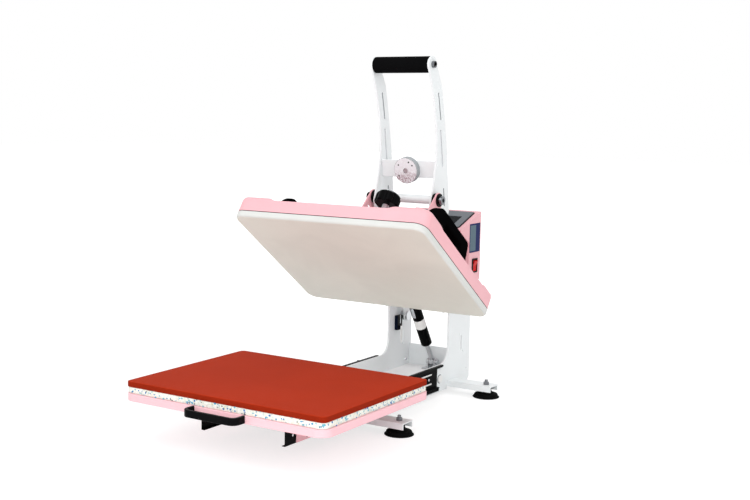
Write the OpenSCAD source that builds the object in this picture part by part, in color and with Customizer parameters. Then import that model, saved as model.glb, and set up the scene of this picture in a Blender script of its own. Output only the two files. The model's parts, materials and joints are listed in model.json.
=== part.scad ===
// Semi-automatic heat press: a sliding table under a heated platen that a hand lever closes.
// Millimetres. +Y runs from the tray handle to the back, +Z is up, X = 0 is the centre line.
// Lengths along Y start at the front edge of the mat with the table pulled out.

/* [Table] */
// Width of the pressing area
bed_w = 500; // [460:10:600]
// Depth of the pressing area
bed_d = 400; // [380:10:480]
// Height of the mat top above the floor
bed_z = 130; // [128:1:150]
// How far the table slides back under the platen
bed_travel = 310; // [280:5:330]
// Thickness of the silicone mat
mat_t = 12; // [6:1:13]
// Corner radius of the silicone mat
mat_r = 12; // [6:1:24]
// Thickness of the foam pad
foam_t = 13; // [6:1:14]
// Corner radius of the foam pad
foam_r = 16; // [10:1:36]
// Height of the tray
tray_h = 16; // [14:1:21]
// Corner radius of the tray
tray_r = 28; // [20:1:60]
// Sheet thickness of the tray and its brackets
tray_sheet = 2.5; // [1.5:0.5:3]
// Length of the tray handle
pull_len = 135; // [120:5:200]
// How far the tray handle stands out
pull_out = 38; // [30:1:50]
// Height of the tray handle bar
pull_h = 15; // [10:1:18]
// Thickness of the tray handle bar
pull_t = 8; // [5:1:10]

/* [Slides] */
// Length of the moving slide members
slide_len = 340; // [330:5:350]
// Height of the fixed slide members
slide_h = 50; // [48:0.5:52]
// Thickness of a slide across its members
slide_w = 19; // [18:0.5:21]
// Height of the slides above the floor
slide_z = 24.5; // [23.5:0.1:26]
// Sheet thickness of the slide members
slide_sheet = 1.4; // [1:0.1:1.5]
// How far the fixed members reach behind the closed table
slide_end = 29; // [20:1:35]
// How far the upper lip of the fixed member runs on at the back
slide_lip = 21; // [12:1:24]

/* [Base] */
// Half width over the side plates
base_half = 88; // [84:1:90]
// Thickness of the side plates
plate_t = 5; // [4:0.5:6]
// Length of the base in front of the back edge of the closed table
base_len = 355; // [340:1:358]
// Height of the low rails in front of the uprights
rail_top = 77; // [76:0.5:80]
// Radius where a rail turns up into its upright
rail_fillet = 36; // [20:1:80]
// Depth of the uprights
post_d = 115; // [110:1:130]
// Height of the top of the uprights
post_top = 270; // [260:1:285]
// Length of the foot beams
beam_len = 412; // [360:2:460]
// Depth of the foot beams
beam_d = 42; // [36:1:50]
// Height of the top of the foot beams
beam_top = 31; // [29:0.5:32]
// Sheet thickness of the foot beams
beam_t = 3; // [2:0.5:4]
// Height of the open lower edge of the foot beams
beam_low = 16.5; // [13:0.5:18]
// Diameter of the suction feet
cup_dia = 66; // [54:1:70]
// Distance of a foot from the end of its beam
cup_in = 21; // [18:1:50]
// Height of the rear wall of the base
wall_top = 112; // [90:1:130]

/* [Platen] */
// Angle of the open platen
tilt = 35.4; // [30:0.1:38]
// Distance of the hinge behind the platen
hinge_back = 127; // [120:1:135]
// Height of the hinge above the platen underside
hinge_h = 88.5; // [84:0.5:96]
// Gap left above the mat when the platen is down
press_gap = 0.5; // [0.3:0.1:3]
// Thickness of the heating plate
heat_t = 15; // [10:1:18]
// Corner radius of the heating plate and its cover
heat_r = 26; // [18:1:40]
// Rounding of the lower edge of the heating plate
heat_edge = 6; // [2:0.5:8]
// Thickness of the seal between plate and cover
seal_t = 1.5; // [1:0.5:3]
// Height of the cover in the dips between its corners
cover_h = 30; // [24:1:32]
// How far the corners of the cover rise above the dips
cover_rise = 9; // [4:1:12]
// Length of a raised corner along the front
corner_x = 104; // [90:1:120]
// Length of a raised corner along the side
corner_y = 82; // [70:1:90]
// Sheet thickness of the cover
cover_t = 2; // [1.5:0.5:3]
// Thickness of the bridge plate on the cover
bridge_t = 5; // [4:0.5:8]
// Thickness of the ears and swing plates
ear_t = 4; // [3:0.5:4.5]
// Distance of the lever pivot in front of the platen back edge
crank_s = 122.4; // [115:0.1:130]
// Height of the lever pivot above the platen underside
crank_h = 236.5; // [230:0.5:245]
// Width of the side handles
grab_w = 42; // [34:1:48]
// Distance of the side handles from the sides of the platen
grab_in = 50; // [44:1:70]
// Height of the side handles above the cover
grab_h = 66; // [60:1:80]

/* [Pressure knob] */
// Distance of the knob in front of the platen back edge
knob_s = 190; // [186:1:194]
// Diameter over the knob lobes
knob_dia = 62; // [52:1:66]
// Height of the knob
knob_h = 29; // [20:1:30]
// Height of the knob above the platen underside
knob_low = 174; // [170:1:180]
// Diameter of the pressure screw
screw_dia = 16; // [12:1:18]

/* [Lever] */
// Thickness of the lever arms
arm_t = 4.5; // [3:0.5:5]
// Height of the grip above the lever pivot
grip_up = 320; // [300:5:340]
// Diameter of the grip
grip_dia = 39; // [30:1:42]
// Diameter of the lever pivot bolts
crank_dia = 12; // [10:1:14]
// Diameter of the tube between the arms at the pivot
tube_dia = 21; // [18:1:24]
// Diameter of the electromagnet
magnet_dia = 64; // [50:1:70]
// Thickness of the electromagnet
magnet_t = 16; // [12:1:18]

/* [Links and gas spring] */
// Width of a toggle link
link_w = 18; // [14:1:20]
// Thickness of a toggle link
link_t = 4.5; // [3:0.5:5]
// Diameter of the pins at the upper ends of the links
pin_dia = 10; // [8:1:12]
// Diameter of the stub pins that carry the lower ends of the links
shaft_dia = 14; // [12:1:16]
// Diameter of the gas spring cylinder
gas_dia = 28; // [22:1:28]
// Diameter of the gas spring rod
gas_rod_dia = 12; // [8:1:12]
// Diameter of the gas spring pins
gas_pin_dia = 8; // [6:1:8]

/* [Control box] */
// Half width of the control box
box_half = 95; // [90:1:110]
// Depth of the lower part of the control box
box_d = 61; // [58:1:70]
// Height of the control box at the back
box_h = 173; // [160:1:190]
// Depth of the sloping panel
panel_d = 108; // [100:1:110]
// Slope of the panel
panel_slope = 20; // [15:1:22]
// Sheet thickness of the control box
box_t = 2; // [1.5:0.5:2.5]
// Width of the display bezel
bezel_w = 162; // [140:2:170]
// Height of the rocker switch frame
rocker_h = 36; // [32:1:40]
// Width of the rocker switch frame
rocker_w = 28; // [24:1:32]

/* [Hidden] */
$fn = 72;
run_gap = 0.06;
side_gap = 0.5;
cut = 1;
tuck = 0.3;
nick = 0.05;

mat_z = bed_z - mat_t;
foam_z = mat_z - foam_t;
tray_z = foam_z - tray_h;
pull_bend = pull_out / 2 - 1;

platen_z = bed_z + press_gap;
platen_back = bed_d + bed_travel;
hinge_y = platen_back + hinge_back;
hinge_z = platen_z + hinge_h;
hinge_r = 8;
boss_r = 22;

post_y0 = hinge_y - 40;
post_y1 = post_y0 + post_d;
base_in = base_half - plate_t;
base_low = 10;
rail_y0 = platen_back - base_len;
beam_set = 15;
front_beam_y = rail_y0 + beam_set + beam_d / 2;
rear_beam_y = post_y0 - 3 + beam_d / 2;
floor_t = 3;
floor_top = beam_top + floor_t;
wall_t = 3;
wall_y = post_y1 - 9;
cup_x = beam_len / 2 - cup_in;

cab_y0 = front_beam_y + beam_d / 2 + 2;
cab_y1 = platen_back + slide_end;
run_y0 = 75;
mid_y0 = (cab_y0 + run_y0) / 2;
slide_c = slide_z + slide_h / 2;
slide_out = base_half + slide_w;
beam_room = 0.5;
run_h = 2 * (slide_c - beam_top - beam_room);
core_h = run_h - 2 * slide_sheet - 7;
hang_y0 = run_y0 + 38;
hang_len = 217;
hang_low = beam_top + 2 * beam_room;
hang_top = tray_z + tray_h - tray_sheet;

swing_out = base_in - side_gap;
swing_in = swing_out - ear_t;
arm_out = 80;
arm_in = arm_out - arm_t;
link_out = arm_in - 3;
link_in = link_out - link_t;
ear_in = base_half + side_gap;
ear_out = ear_in + ear_t;

function turn(v, a) = [v.x * cos(a) - v.y * sin(a), v.x * sin(a) + v.y * cos(a)];
function opened(s, h) = [hinge_y, hinge_z] + turn([-hinge_back - s, h - hinge_h], -tilt);
// Point where a line from p runs into a circle, a little inside its rim so that the edges cross
function tangent(p, c, r, side) =
    let (q = r - tuck, v = c - p, d = norm(v), a = atan2(v.y, v.x) + side * asin(q / d))
    p + sqrt(d * d - q * q) * [cos(a), sin(a)];
function bend(a, b, c) = [for (i = [0:9]) let (t = i / 10)
    (1 - t) * (1 - t) * a + 2 * t * (1 - t) * b + t * t * c];
function arc(c, r, a0, a1) = [for (i = [0:8]) let (a = a0 + (a1 - a0) * i / 8)
    c + r * [cos(a), sin(a)]];

crank = opened(crank_s, crank_h);
fulcrum = [hinge_y + 26, hinge_z - 51];
toggle = crank + [7.9, -24.8];
toggle_play = 1.1;
gas_s = 34;
gas_h = 96;
gas_top = opened(gas_s, gas_h);
gas_foot = [hinge_y + 42, floor_top + 19];
gas_vec = gas_top - gas_foot;
gas_len = norm(gas_vec);
gas_play = 2.7;
gas_eye_r = gas_pin_dia / 2 + 5;
gas_neck = 64;
gas_rod_len = 190;

cover_z = heat_t + seal_t;
dip_z = cover_z + cover_h;
bridge_z = dip_z + bridge_t;
bridge_front = 238;
bridge_rear = 12;
ear_r = 18;
striker_t = 5;
stem_top = knob_low - 6;

box_y1 = hinge_y + 105;
box_top = post_top + box_h;
panel_y = box_y1 - panel_d;
panel_z = box_top - panel_d * tan(panel_slope);
inlet_t = 3;
mid_y = (box_y1 + box_t + inlet_t - pull_out) / 2;

// Rounded rectangle outline
module round_rect(w, d, r) {
    square([w - 2 * r, d], center = true);
    square([w, d - 2 * r], center = true);
    for (sx = [-1, 1], sy = [-1, 1])
        translate([sx * (w / 2 - r), sy * (d / 2 - r)])
            circle(r);
}

// Straight slot or link outline between two points
module capsule(p, q, r) {
    v = q - p;
    translate(p)
        circle(r);
    translate(q)
        circle(r);
    translate(p)
        rotate(atan2(v.y, v.x))
            translate([0, nick - r])
                square([norm(v), 2 * (r - nick)]);
}

// Bow outline that opens towards +Y: width l, height h, outer bend radius r
module bow(l, h, r) {
    translate([-l / 2 + r, -h])
        square([l - 2 * r, h]);
    translate([-l / 2, r - h])
        square([l, h - r]);
    for (sx = [-1, 1])
        translate([sx * (l / 2 - r), r - h])
            circle(r);
}

// Outline drawn in Y and Z, extruded along X
module yz(x0, x1) {
    translate([x0, 0, 0])
        rotate([90, 0, 90])
            linear_extrude(x1 - x0)
                children();
}

// Round bar along X
module rod(x0, x1, r) {
    translate([x0, 0, 0])
        rotate([0, 90, 0])
            cylinder(h = x1 - x0, r = r);
}

module pair() {
    children();
    mirror([1, 0, 0])
        children();
}

// The whole machine is centred over its own length
module set() {
    translate([0, -mid_y, 0])
        children();
}

// Platen frame: Y = 0 is the back edge, Z = 0 the underside
module on_platen() {
    set()
        translate([0, hinge_y, hinge_z])
            rotate([-tilt, 0, 0])
                translate([0, -hinge_back, -hinge_h])
                    children();
}

// Lever frame: the origin is the lever pivot
module on_lever() {
    set()
        translate([0, crank.x, crank.y])
            children();
}

// Gas spring frame: Z runs from the lower pin to the upper pin
module on_gas() {
    set()
        translate([0, gas_foot.x, gas_foot.y])
            rotate([atan2(gas_vec.y, gas_vec.x) - 90, 0, 0])
                children();
}

// Panel frame: the origin is the top back edge of the control box
module on_panel() {
    set()
        translate([0, box_y1, box_top])
            rotate([panel_slope, 0, 0])
                children();
}

// Table

module silicone_mat() {
    color([0.71, 0.25, 0.15])
        set()
            translate([0, bed_d / 2, mat_z])
                linear_extrude(mat_t)
                    round_rect(bed_w, bed_d, mat_r);
}

module foam_pad() {
    color([0.93, 0.91, 0.84])
        set()
            translate([0, bed_d / 2, foam_z])
                linear_extrude(foam_t)
                    round_rect(bed_w, bed_d, foam_r);
}

module tray() {
    color([0.98, 0.78, 0.81])
        set()
            translate([0, bed_d / 2, tray_z])
                difference() {
                    linear_extrude(tray_h)
                        round_rect(bed_w, bed_d, tray_r);
                    translate([0, 0, -cut])
                        linear_extrude(tray_h - tray_sheet + cut)
                            round_rect(bed_w - 2 * tray_sheet, bed_d - 2 * tray_sheet, tray_r - tray_sheet);
                }
}

module tray_handle() {
    color([0.06, 0.06, 0.06])
        set()
            translate([0, 0, tray_z + tray_h - pull_h])
                linear_extrude(pull_h)
                    difference() {
                        bow(pull_len, pull_out, pull_bend);
                        bow(pull_len - 2 * pull_t, pull_out - pull_t, pull_bend - pull_t);
                    }
}

// Angle brackets that hang the table on the slide runners
module tray_brackets() {
    color([0.98, 0.78, 0.81])
        set()
            pair()
                translate([slide_out, hang_y0, 0]) {
                    translate([0, 0, hang_low])
                        cube([tray_sheet, hang_len, hang_top - hang_low]);
                    translate([0, 0, hang_top - tray_sheet])
                        cube([20, hang_len, tray_sheet]);
                }
}

module tray_screws() {
    color([0.8, 0.8, 0.8])
        set()
            pair()
                for (t = [0.12, 0.88])
                    translate([slide_out + tray_sheet, hang_y0 + t * hang_len, slide_c])
                        rotate([0, 90, 0])
                            difference() {
                                cylinder(h = 2, r = 4);
                                translate([0, 0, 1])
                                    cylinder(h = 2, r = 1.8, $fn = 6);
                            }
}

// Slides

// C shaped rail section: back sheet at X = 0, height h about Z = 0, flange depth d
module channel(h, d, t) {
    translate([0, -h / 2])
        square([t, h]);
    for (sy = [-1, 1])
        translate([0, sy * (h - t) / 2 - t / 2])
            square([d, t]);
}

module along_slide(y0, len) {
    translate([0, y0 + len, slide_c])
        rotate([90, 0, 0])
            linear_extrude(len)
                children();
}

// Fixed members: channels that open outwards, with a rounded lip at the back
module slide_rails() {
    lip_w = slide_w / 2 - 0.5;
    color([0.08, 0.08, 0.08])
        set()
            pair()
                translate([base_half, 0, 0]) {
                    along_slide(cab_y0, cab_y1 - cab_y0)
                        channel(slide_h, lip_w, slide_sheet);
                    translate([0, cab_y1 - cut, slide_z + slide_h - slide_sheet])
                        linear_extrude(slide_sheet)
                            intersection() {
                                square([lip_w, slide_lip + cut]);
                                translate([0, slide_lip + cut - lip_w])
                                    union() {
                                        circle(lip_w);
                                        translate([0, -slide_lip])
                                            square([slide_w, slide_lip]);
                                    }
                            }
                }
}

flange_d = slide_w / 2 - 3.5;

// Middle members: a web with flanges that run inside the fixed members and inside the runners
module slide_mid() {
    color([0.1, 0.1, 0.1])
        set()
            pair()
                translate([base_half + slide_w / 2, 0, 0])
                    along_slide(mid_y0, slide_len) {
                        mirror([1, 0])
                            translate([-slide_sheet / 2, 0])
                                channel(run_h, flange_d + slide_sheet, slide_sheet);
                        translate([-slide_sheet / 2, 0])
                            channel(core_h, flange_d + slide_sheet, slide_sheet);
                    }
}

// Strip of balls on a flange at height h, up to the flange above it at height top
module ball_strip(h, top) {
    for (sy = [-1, 1])
        translate([0, sy * (h + top - strip_room) / 2 - (top - strip_room - h) / 2])
            square([strip_w, top - strip_room - h]);
}

strip_len = 160;
strip_w = 4.2;
strip_room = 0.4;

// Ball cages that lie on the flanges of the middle members
module ball_strips() {
    color([0.85, 0.86, 0.87])
        set()
            pair()
                translate([base_half + slide_w / 2, 0, 0]) {
                    along_slide(cab_y0 + 6, strip_len)
                        translate([-strip_w - slide_sheet, 0])
                            ball_strip(run_h / 2, slide_h / 2 - slide_sheet);
                    along_slide(mid_y0 + 5, strip_len)
                        translate([slide_sheet, 0])
                            ball_strip(core_h / 2, run_h / 2 - slide_sheet);
                }
}

// Runners: channels that open inwards and carry the table
module slide_runners() {
    color([0.07, 0.07, 0.07])
        set()
            pair()
                difference() {
                    translate([slide_out, 0, 0])
                        mirror([1, 0, 0])
                            along_slide(run_y0, slide_len)
                                channel(run_h, slide_w / 2 - 1.3, slide_sheet);
                    translate([slide_out - slide_w, run_y0 + 28, slide_c])
                        rotate([0, 90, 0])
                            cylinder(h = 2 * slide_w, r = 3);
                }
}

// Base

module side_outline() {
    notch = 0.3;
    nip = 12;
    corner = 14;
    difference() {
        polygon(concat(
            [[rail_y0, base_low + nip], [rail_y0 + nip, base_low]],
            [[post_y1 - nip, base_low], [post_y1, base_low + nip], [post_y1, post_top]],
            arc([post_y0 + corner, post_top - corner], corner, 90, 180),
            arc([post_y0 - rail_fillet, rail_top + rail_fillet], rail_fillet, 0, -90),
            arc([rail_y0 + corner, rail_top - corner], corner, 90, 180)
        ));
        for (y = [front_beam_y, rear_beam_y])
            translate([y - beam_d / 2 - notch, 0])
                square([beam_d + 2 * notch, beam_top]);
        translate([hinge_y, hinge_z])
            circle(hinge_r + run_gap);
        capsule([hinge_y + 29, hinge_z - 119], [hinge_y + 29, hinge_z - 89], 5);
        for (p = [[17, -81], [36, -126.5], [59, -174.5]])
            translate([hinge_y + p.x, hinge_z + p.y])
                circle(2.4);
    }
}

module side_plate_right() {
    color([0.93, 0.94, 0.94])
        set()
            yz(base_in, base_half)
                side_outline();
}

module side_plate_left() {
    color([0.93, 0.94, 0.94])
        set()
            mirror([1, 0, 0])
                yz(base_in, base_half)
                    side_outline();
}

module base_floor() {
    color([0.9, 0.92, 0.93])
        set()
            translate([0, 0, beam_top])
                linear_extrude(floor_t)
                    difference() {
                        translate([-base_in, rail_y0])
                            square([2 * base_in, wall_y - rail_y0]);
                        capsule([-45, post_y0 - 32], [-5, post_y0 - 32], 5);
                        capsule([-45, rail_y0 + 90], [45, rail_y0 + 90], 8);
                    }
}

module rear_wall() {
    color([0.91, 0.93, 0.94])
        set()
            translate([-base_in, wall_y, beam_top])
                difference() {
                    cube([2 * base_in, wall_t, wall_top - beam_top]);
                    translate([22, -cut, 38])
                        rotate([-90, 0, 0])
                            cylinder(h = wall_t + 2 * cut, r = 3);
                }
}

module foot_beam(y) {
    color([0.93, 0.94, 0.94])
        set()
            translate([-beam_len / 2, y - beam_d / 2, beam_low])
                difference() {
                    cube([beam_len, beam_d, beam_top - beam_low]);
                    translate([-cut, beam_t, -cut])
                        cube([beam_len + 2 * cut, beam_d - 2 * beam_t, beam_top - beam_low - beam_t + cut]);
                    for (sx = [-1, 1])
                        translate([beam_len / 2 + sx * cup_x, beam_d / 2, 0])
                            cylinder(h = beam_top, r = 4.2);
                }
}

module foot_beams() {
    foot_beam(front_beam_y);
    foot_beam(rear_beam_y);
}

module each_foot() {
    set()
        for (sx = [-1, 1], y = [front_beam_y, rear_beam_y])
            translate([sx * cup_x, y, 0])
                children();
}

// Suction feet: a flat flared cup under a short neck
module suction_feet() {
    rim = cup_dia / 2;
    color([0.05, 0.05, 0.05])
        each_foot()
            difference() {
                rotate_extrude()
                    polygon(concat(
                        [[0, 0], [rim - 1, 0], [rim, 1.6], [rim - 3, 3.4]],
                        arc([rim - 10, 0], 10.2, 60, 100),
                        [[15, beam_low - 2], [13, beam_low], [13, beam_top - beam_t], [0, beam_top - beam_t]]
                    ));
                translate([0, 0, 8])
                    cylinder(h = beam_top, r = 4);
            }
}

module foot_studs() {
    color([0.75, 0.76, 0.78])
        each_foot() {
            translate([0, 0, 8])
                cylinder(h = beam_top + 4, r = 4);
            translate([0, 0, beam_top])
                cylinder(h = 6.5, r = 7.5, $fn = 6);
        }
}

module hinge_bolts() {
    color([0.78, 0.79, 0.81])
        set()
            pair()
                translate([0, hinge_y, hinge_z]) {
                    rod(swing_in - side_gap - 3.5, base_half + 3, hinge_r);
                    rod(swing_in - side_gap - 3.5, swing_in - side_gap, 13);
                    rod(base_half, base_half + 4, 14);
                }
}

// Stub pins on the uprights that carry the lower ends of the links
module fulcrum_pins() {
    color([0.8, 0.81, 0.83])
        set()
            translate([0, fulcrum.x, fulcrum.y])
                pair() {
                    rod(link_in - 4.5, base_in, shaft_dia / 2);
                    rod(link_in - 4.5, link_in - side_gap, shaft_dia / 2 + 5);
                    rod(link_out + side_gap, base_in, shaft_dia / 2 + 5);
                }
}

// Fork on the base floor for the lower end of the gas spring
module gas_anchor() {
    lug_x = 7.5;
    color([0.93, 0.94, 0.94])
        set() {
            translate([-22, gas_foot.x - 18, floor_top])
                cube([44, wall_y - gas_foot.x + 18, 3]);
            pair()
                translate([0, gas_foot.x, gas_foot.y]) {
                    yz(lug_x, lug_x + 4) {
                        circle(10);
                        translate([-10, floor_top - gas_foot.y])
                            square([20, gas_foot.y - floor_top]);
                    }
                }
            translate([0, gas_foot.x, gas_foot.y]) {
                rod(-lug_x - 6, lug_x + 6, gas_pin_dia / 2);
                pair()
                    rod(lug_x + 4, lug_x + 8, gas_pin_dia / 2 + 3);
            }
        }
}

limit_y = hinge_y - 1;
limit_z = hinge_z - 66;
limit_pin_z = limit_z - 12;
limit_pin_r = 2;

module limit_switch() {
    color([0.05, 0.06, 0.08])
        set()
            mirror([1, 0, 0])
                difference() {
                    union() {
                        yz(base_in - 9, base_in)
                            translate([limit_y, limit_z])
                                round_rect(24, 38, 2);
                        yz(base_in - 12.5, base_in - 9)
                            translate([limit_y, limit_pin_z])
                                circle(4);
                    }
                    yz(base_in - 12.6, base_in - 9)
                        translate([limit_y, limit_pin_z])
                            circle(limit_pin_r + run_gap);
                }
}

// Hanging lever of the limit switch
module limit_lever() {
    color([0.93, 0.93, 0.92])
        set()
            mirror([1, 0, 0])
                translate([0, limit_y, limit_pin_z]) {
                    rod(base_in - 14.6, base_in - 9.2, limit_pin_r);
                    yz(base_in - 14.6, base_in - 12.9)
                        polygon([[-4, 4], [4, 4], [5, -24], [0, -42], [-4, -24]]);
                }
}

// Control box

function box_outline(w, back) = [
    [box_y1 + back, post_top + w],
    [box_y1 + back, box_top - w * 1.07 + back * tan(panel_slope)],
    [panel_y + w, panel_z - w * 0.7],
    [panel_y + w, panel_z - 6 + w * 0.55],
    [box_y1 - box_d + w, panel_z - 36 + w * 0.55],
    [box_y1 - box_d + w, post_top + w]
];

module on_rocker() {
    set()
        translate([box_half, box_y1 - box_d / 2 + 1, post_top + 38])
            children();
}

module control_box() {
    color([0.98, 0.78, 0.81])
        difference() {
            set()
                yz(-box_half, box_half)
                    polygon(box_outline(0, 0));
            set()
                yz(box_t - box_half, box_half - box_t)
                    polygon(box_outline(box_t, cut));
            on_rocker()
                cube([3 * box_t, rocker_w - 3, rocker_h - 2], center = true);
        }
}

module box_back() {
    color([0.97, 0.77, 0.8])
        difference() {
            set()
                translate([-box_half, box_y1, post_top])
                    cube([2 * box_half, box_t, box_h]);
            on_inlet()
                cube([27, 20, 20], center = true);
        }
}

module on_inlet() {
    set()
        translate([-40, box_y1 + box_t, post_top + 34])
            children();
}

// Mains inlet with three blades in its recess
module power_inlet() {
    color([0.05, 0.05, 0.05])
        on_inlet() {
            difference() {
                union() {
                    translate([-25, 0, -12])
                        cube([50, inlet_t, 24]);
                    translate([-13.4, -22, -9.9])
                        cube([26.8, 22, 19.8]);
                }
                translate([-12, -17, -8])
                    cube([24, 25, 16]);
            }
            for (p = [[-7, -2], [0, 2], [7, -2]])
                translate([p.x - 1, -17, p.y - 2])
                    cube([2, 10, 4]);
        }
}

bezel_t = 3;
bezel_d = panel_d - 16;
glass_w = bezel_w - 38;
glass_d = bezel_d - 44;
glass_low = 9;

module on_display() {
    on_panel()
        translate([0, -11 - bezel_d / 2, 0])
            children();
}

module display_bezel() {
    color([0.45, 0.47, 0.49])
        on_display()
            difference() {
                linear_extrude(bezel_t)
                    round_rect(bezel_w, bezel_d, 5);
                translate([-glass_w / 2, -glass_low - glass_d / 2, bezel_t / 2])
                    cube([glass_w, glass_d, bezel_t]);
            }
}

module display_screen() {
    color([0.13, 0.14, 0.14])
        on_display()
            translate([0.2 - glass_w / 2, 0.2 - glass_low - glass_d / 2, bezel_t / 2])
                cube([glass_w - 0.4, glass_d - 0.4, 1.2]);
}

module control_board() {
    half = box_half - 30;
    color([0.1, 0.35, 0.2])
        set()
            translate([0, box_y1 - box_d + box_t, post_top + 12]) {
                translate([-half, 8, 0])
                    cube([2 * half, 2, 62]);
                for (sx = [-1, 1], z = [8, 54])
                    translate([sx * (half - 8), 0, z])
                        rotate([-90, 0, 0])
                            cylinder(h = 8, r = 3);
                translate([-20, 10, 12])
                    cube([30, 18, 24]);
            }
}

module rocker_frame() {
    color([0.04, 0.04, 0.04])
        on_rocker()
            difference() {
                union() {
                    translate([0, -rocker_w / 2, -rocker_h / 2])
                        cube([2, rocker_w, rocker_h]);
                    translate([-16, 2 - rocker_w / 2, 1.5 - rocker_h / 2])
                        cube([16, rocker_w - 4, rocker_h - 3]);
                }
                translate([-14, 4 - rocker_w / 2, 3 - rocker_h / 2])
                    cube([20, rocker_w - 8, rocker_h - 6]);
                translate([-4, 0, 0])
                    rotate([90, 0, 0])
                        cylinder(h = rocker_w - 5, r = 1.5 + run_gap, center = true);
            }
}

rocker_tip = 11;

// Rocker with its upper half standing out; it turns on short trunnions
module rocker() {
    half = rocker_h / 2 - 4.6;
    color([0.75, 0.05, 0.05])
        on_rocker()
            translate([-4, 0, 0])
                rotate([0, rocker_tip, 0]) {
                    rotate([90, 0, 0])
                        linear_extrude(rocker_w - 9, center = true)
                            polygon([[-4, -half], [7.5, -half], [5, 0], [7.5, half], [-4, half]]);
                    rotate([90, 0, 0])
                        cylinder(h = rocker_w - 5.4, r = 1.5, center = true);
                }
}

// Platen

// Corner block of the heating plate with a rounded lower edge
module plate_corner() {
    rotate_extrude($fn = 48)
        polygon(concat(
            [[0, heat_t], [0, 0]],
            arc([heat_r - heat_edge, heat_edge], heat_edge, -90, 0),
            [[heat_r, heat_t]]
        ));
}

module heating_plate() {
    color([0.85, 0.83, 0.79])
        on_platen()
            translate([0, -bed_d / 2, 0])
                hull()
                    for (sx = [-1, 1], sy = [-1, 1])
                        translate([sx * (bed_w / 2 - heat_r), sy * (bed_d / 2 - heat_r), 0])
                            plate_corner();
}

module platen_seal() {
    color([0.15, 0.15, 0.15])
        on_platen()
            translate([0, -bed_d / 2, heat_t])
                linear_extrude(seal_t)
                    difference() {
                        round_rect(bed_w - 1.5, bed_d - 1.5, heat_r);
                        round_rect(bed_w - 16, bed_d - 16, heat_r - 6);
                    }
}

element_r = 4;

// Tubular heating element laid in hairpins on the heating plate
module heating_element() {
    runs = 6;
    pitch = (bed_d - 80) / (runs - 1);
    run = bed_w / 2 - 40 - pitch / 2;
    color([0.55, 0.5, 0.45])
        on_platen()
            translate([0, -bed_d / 2, heat_t + element_r])
                for (i = [0:runs - 1])
                    translate([0, (i - (runs - 1) / 2) * pitch, 0]) {
                        rod(-run, run, element_r);
                        if (i < runs - 1)
                            translate([i % 2 == 0 ? run : -run, pitch / 2, 0])
                                rotate([0, 0, i % 2 == 0 ? -90 : 90])
                                    rotate_extrude(angle = 180)
                                        translate([pitch / 2, 0])
                                            circle(element_r);
                    }
}

module insulation() {
    z0 = heat_t + 2 * element_r;
    color([0.9, 0.88, 0.8])
        on_platen()
            translate([0, -bed_d / 2, z0])
                linear_extrude(dip_z - cover_t - z0)
                    round_rect(bed_w - 20, bed_d - 20, heat_r - 8);
}

module cover_corner() {
    top = cover_h + cover_rise;
    rotate_extrude($fn = 48)
        polygon(concat(
            [[0, top], [0, 0], [heat_r, 0]],
            arc([heat_r - 10, top - 10], 10, 0, 90)
        ));
}

// Outline of a dip between two raised corners, with smooth ramps
module dip_outline(half) {
    ramp = 26;
    rise = cover_rise + cut;
    slope = [for (i = [0:8]) [half + ramp * i / 8, cover_h + (1 - cos(180 * i / 8)) / 2 * cover_rise]];
    polygon(concat(
        slope,
        [[half + ramp, cover_h + rise], [-half - ramp, cover_h + rise]],
        [for (i = [8:-1:0]) [-slope[i].x, slope[i].y]]
    ));
}

module platen_cover() {
    color([0.98, 0.78, 0.81])
        on_platen()
            translate([0, -bed_d / 2, cover_z])
                difference() {
                    hull()
                        for (sx = [-1, 1], sy = [-1, 1])
                            translate([sx * (bed_w / 2 - heat_r), sy * (bed_d / 2 - heat_r), 0])
                                cover_corner();
                    translate([0, 0, -cut])
                        linear_extrude(cover_h - cover_t + cut)
                            round_rect(bed_w - 2 * cover_t, bed_d - 2 * cover_t, heat_r - cover_t);
                    translate([0, bed_d, 0])
                        rotate([90, 0, 0])
                            linear_extrude(2 * bed_d)
                                dip_outline(bed_w / 2 - corner_x);
                    yz(-bed_w, bed_w)
                        dip_outline(bed_d / 2 - corner_y);
                }
}

// Bridge plate with the two ears that carry the lever
module ear_bracket() {
    top = [-crank_s, crank_h];
    sunk = bridge_z - bridge_t / 2;
    rear = [-52, sunk];
    front = [-181, sunk];
    half = ear_out + 1;
    color([0.98, 0.78, 0.81])
        on_platen() {
            translate([-half, -bridge_front, dip_z])
                cube([2 * half, bridge_front - bridge_rear, bridge_t]);
            pair()
                yz(ear_in, ear_out)
                    difference() {
                        union() {
                            polygon([
                                front,
                                rear,
                                tangent(rear, top, ear_r, -1),
                                top,
                                tangent(front, top, ear_r, 1)
                            ]);
                            translate(top)
                                circle(ear_r);
                        }
                        translate(top)
                            circle(crank_dia / 2 + run_gap);
                        capsule(top + [-8, -31], top + [2, -31], 3);
                    }
        }
}

module swing_outline() {
    pivot = [hinge_back, hinge_h];
    belly = [84, 52];
    difference() {
        union() {
            polygon([
                [-bridge_front, bridge_z],
                [-bridge_rear, bridge_z],
                belly + [-3, -11.6],
                belly + [11.5, -3],
                tangent(belly + [11.5, -3], pivot, boss_r, -1),
                pivot,
                pivot + [0, boss_r - tuck],
                [-40, hinge_h + boss_r - tuck],
                [-150, bridge_z + 34],
                [-bridge_front, bridge_z + 10]
            ]);
            translate(belly)
                circle(12);
            translate(pivot)
                circle(boss_r);
        }
        translate(pivot)
            circle(hinge_r + run_gap);
    }
}

module swing_plate_right() {
    color([0.93, 0.94, 0.94])
        on_platen()
            yz(swing_in, swing_out)
                swing_outline();
}

module swing_plate_left() {
    color([0.93, 0.94, 0.94])
        on_platen()
            mirror([1, 0, 0])
                yz(swing_in, swing_out)
                    swing_outline();
}

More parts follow.
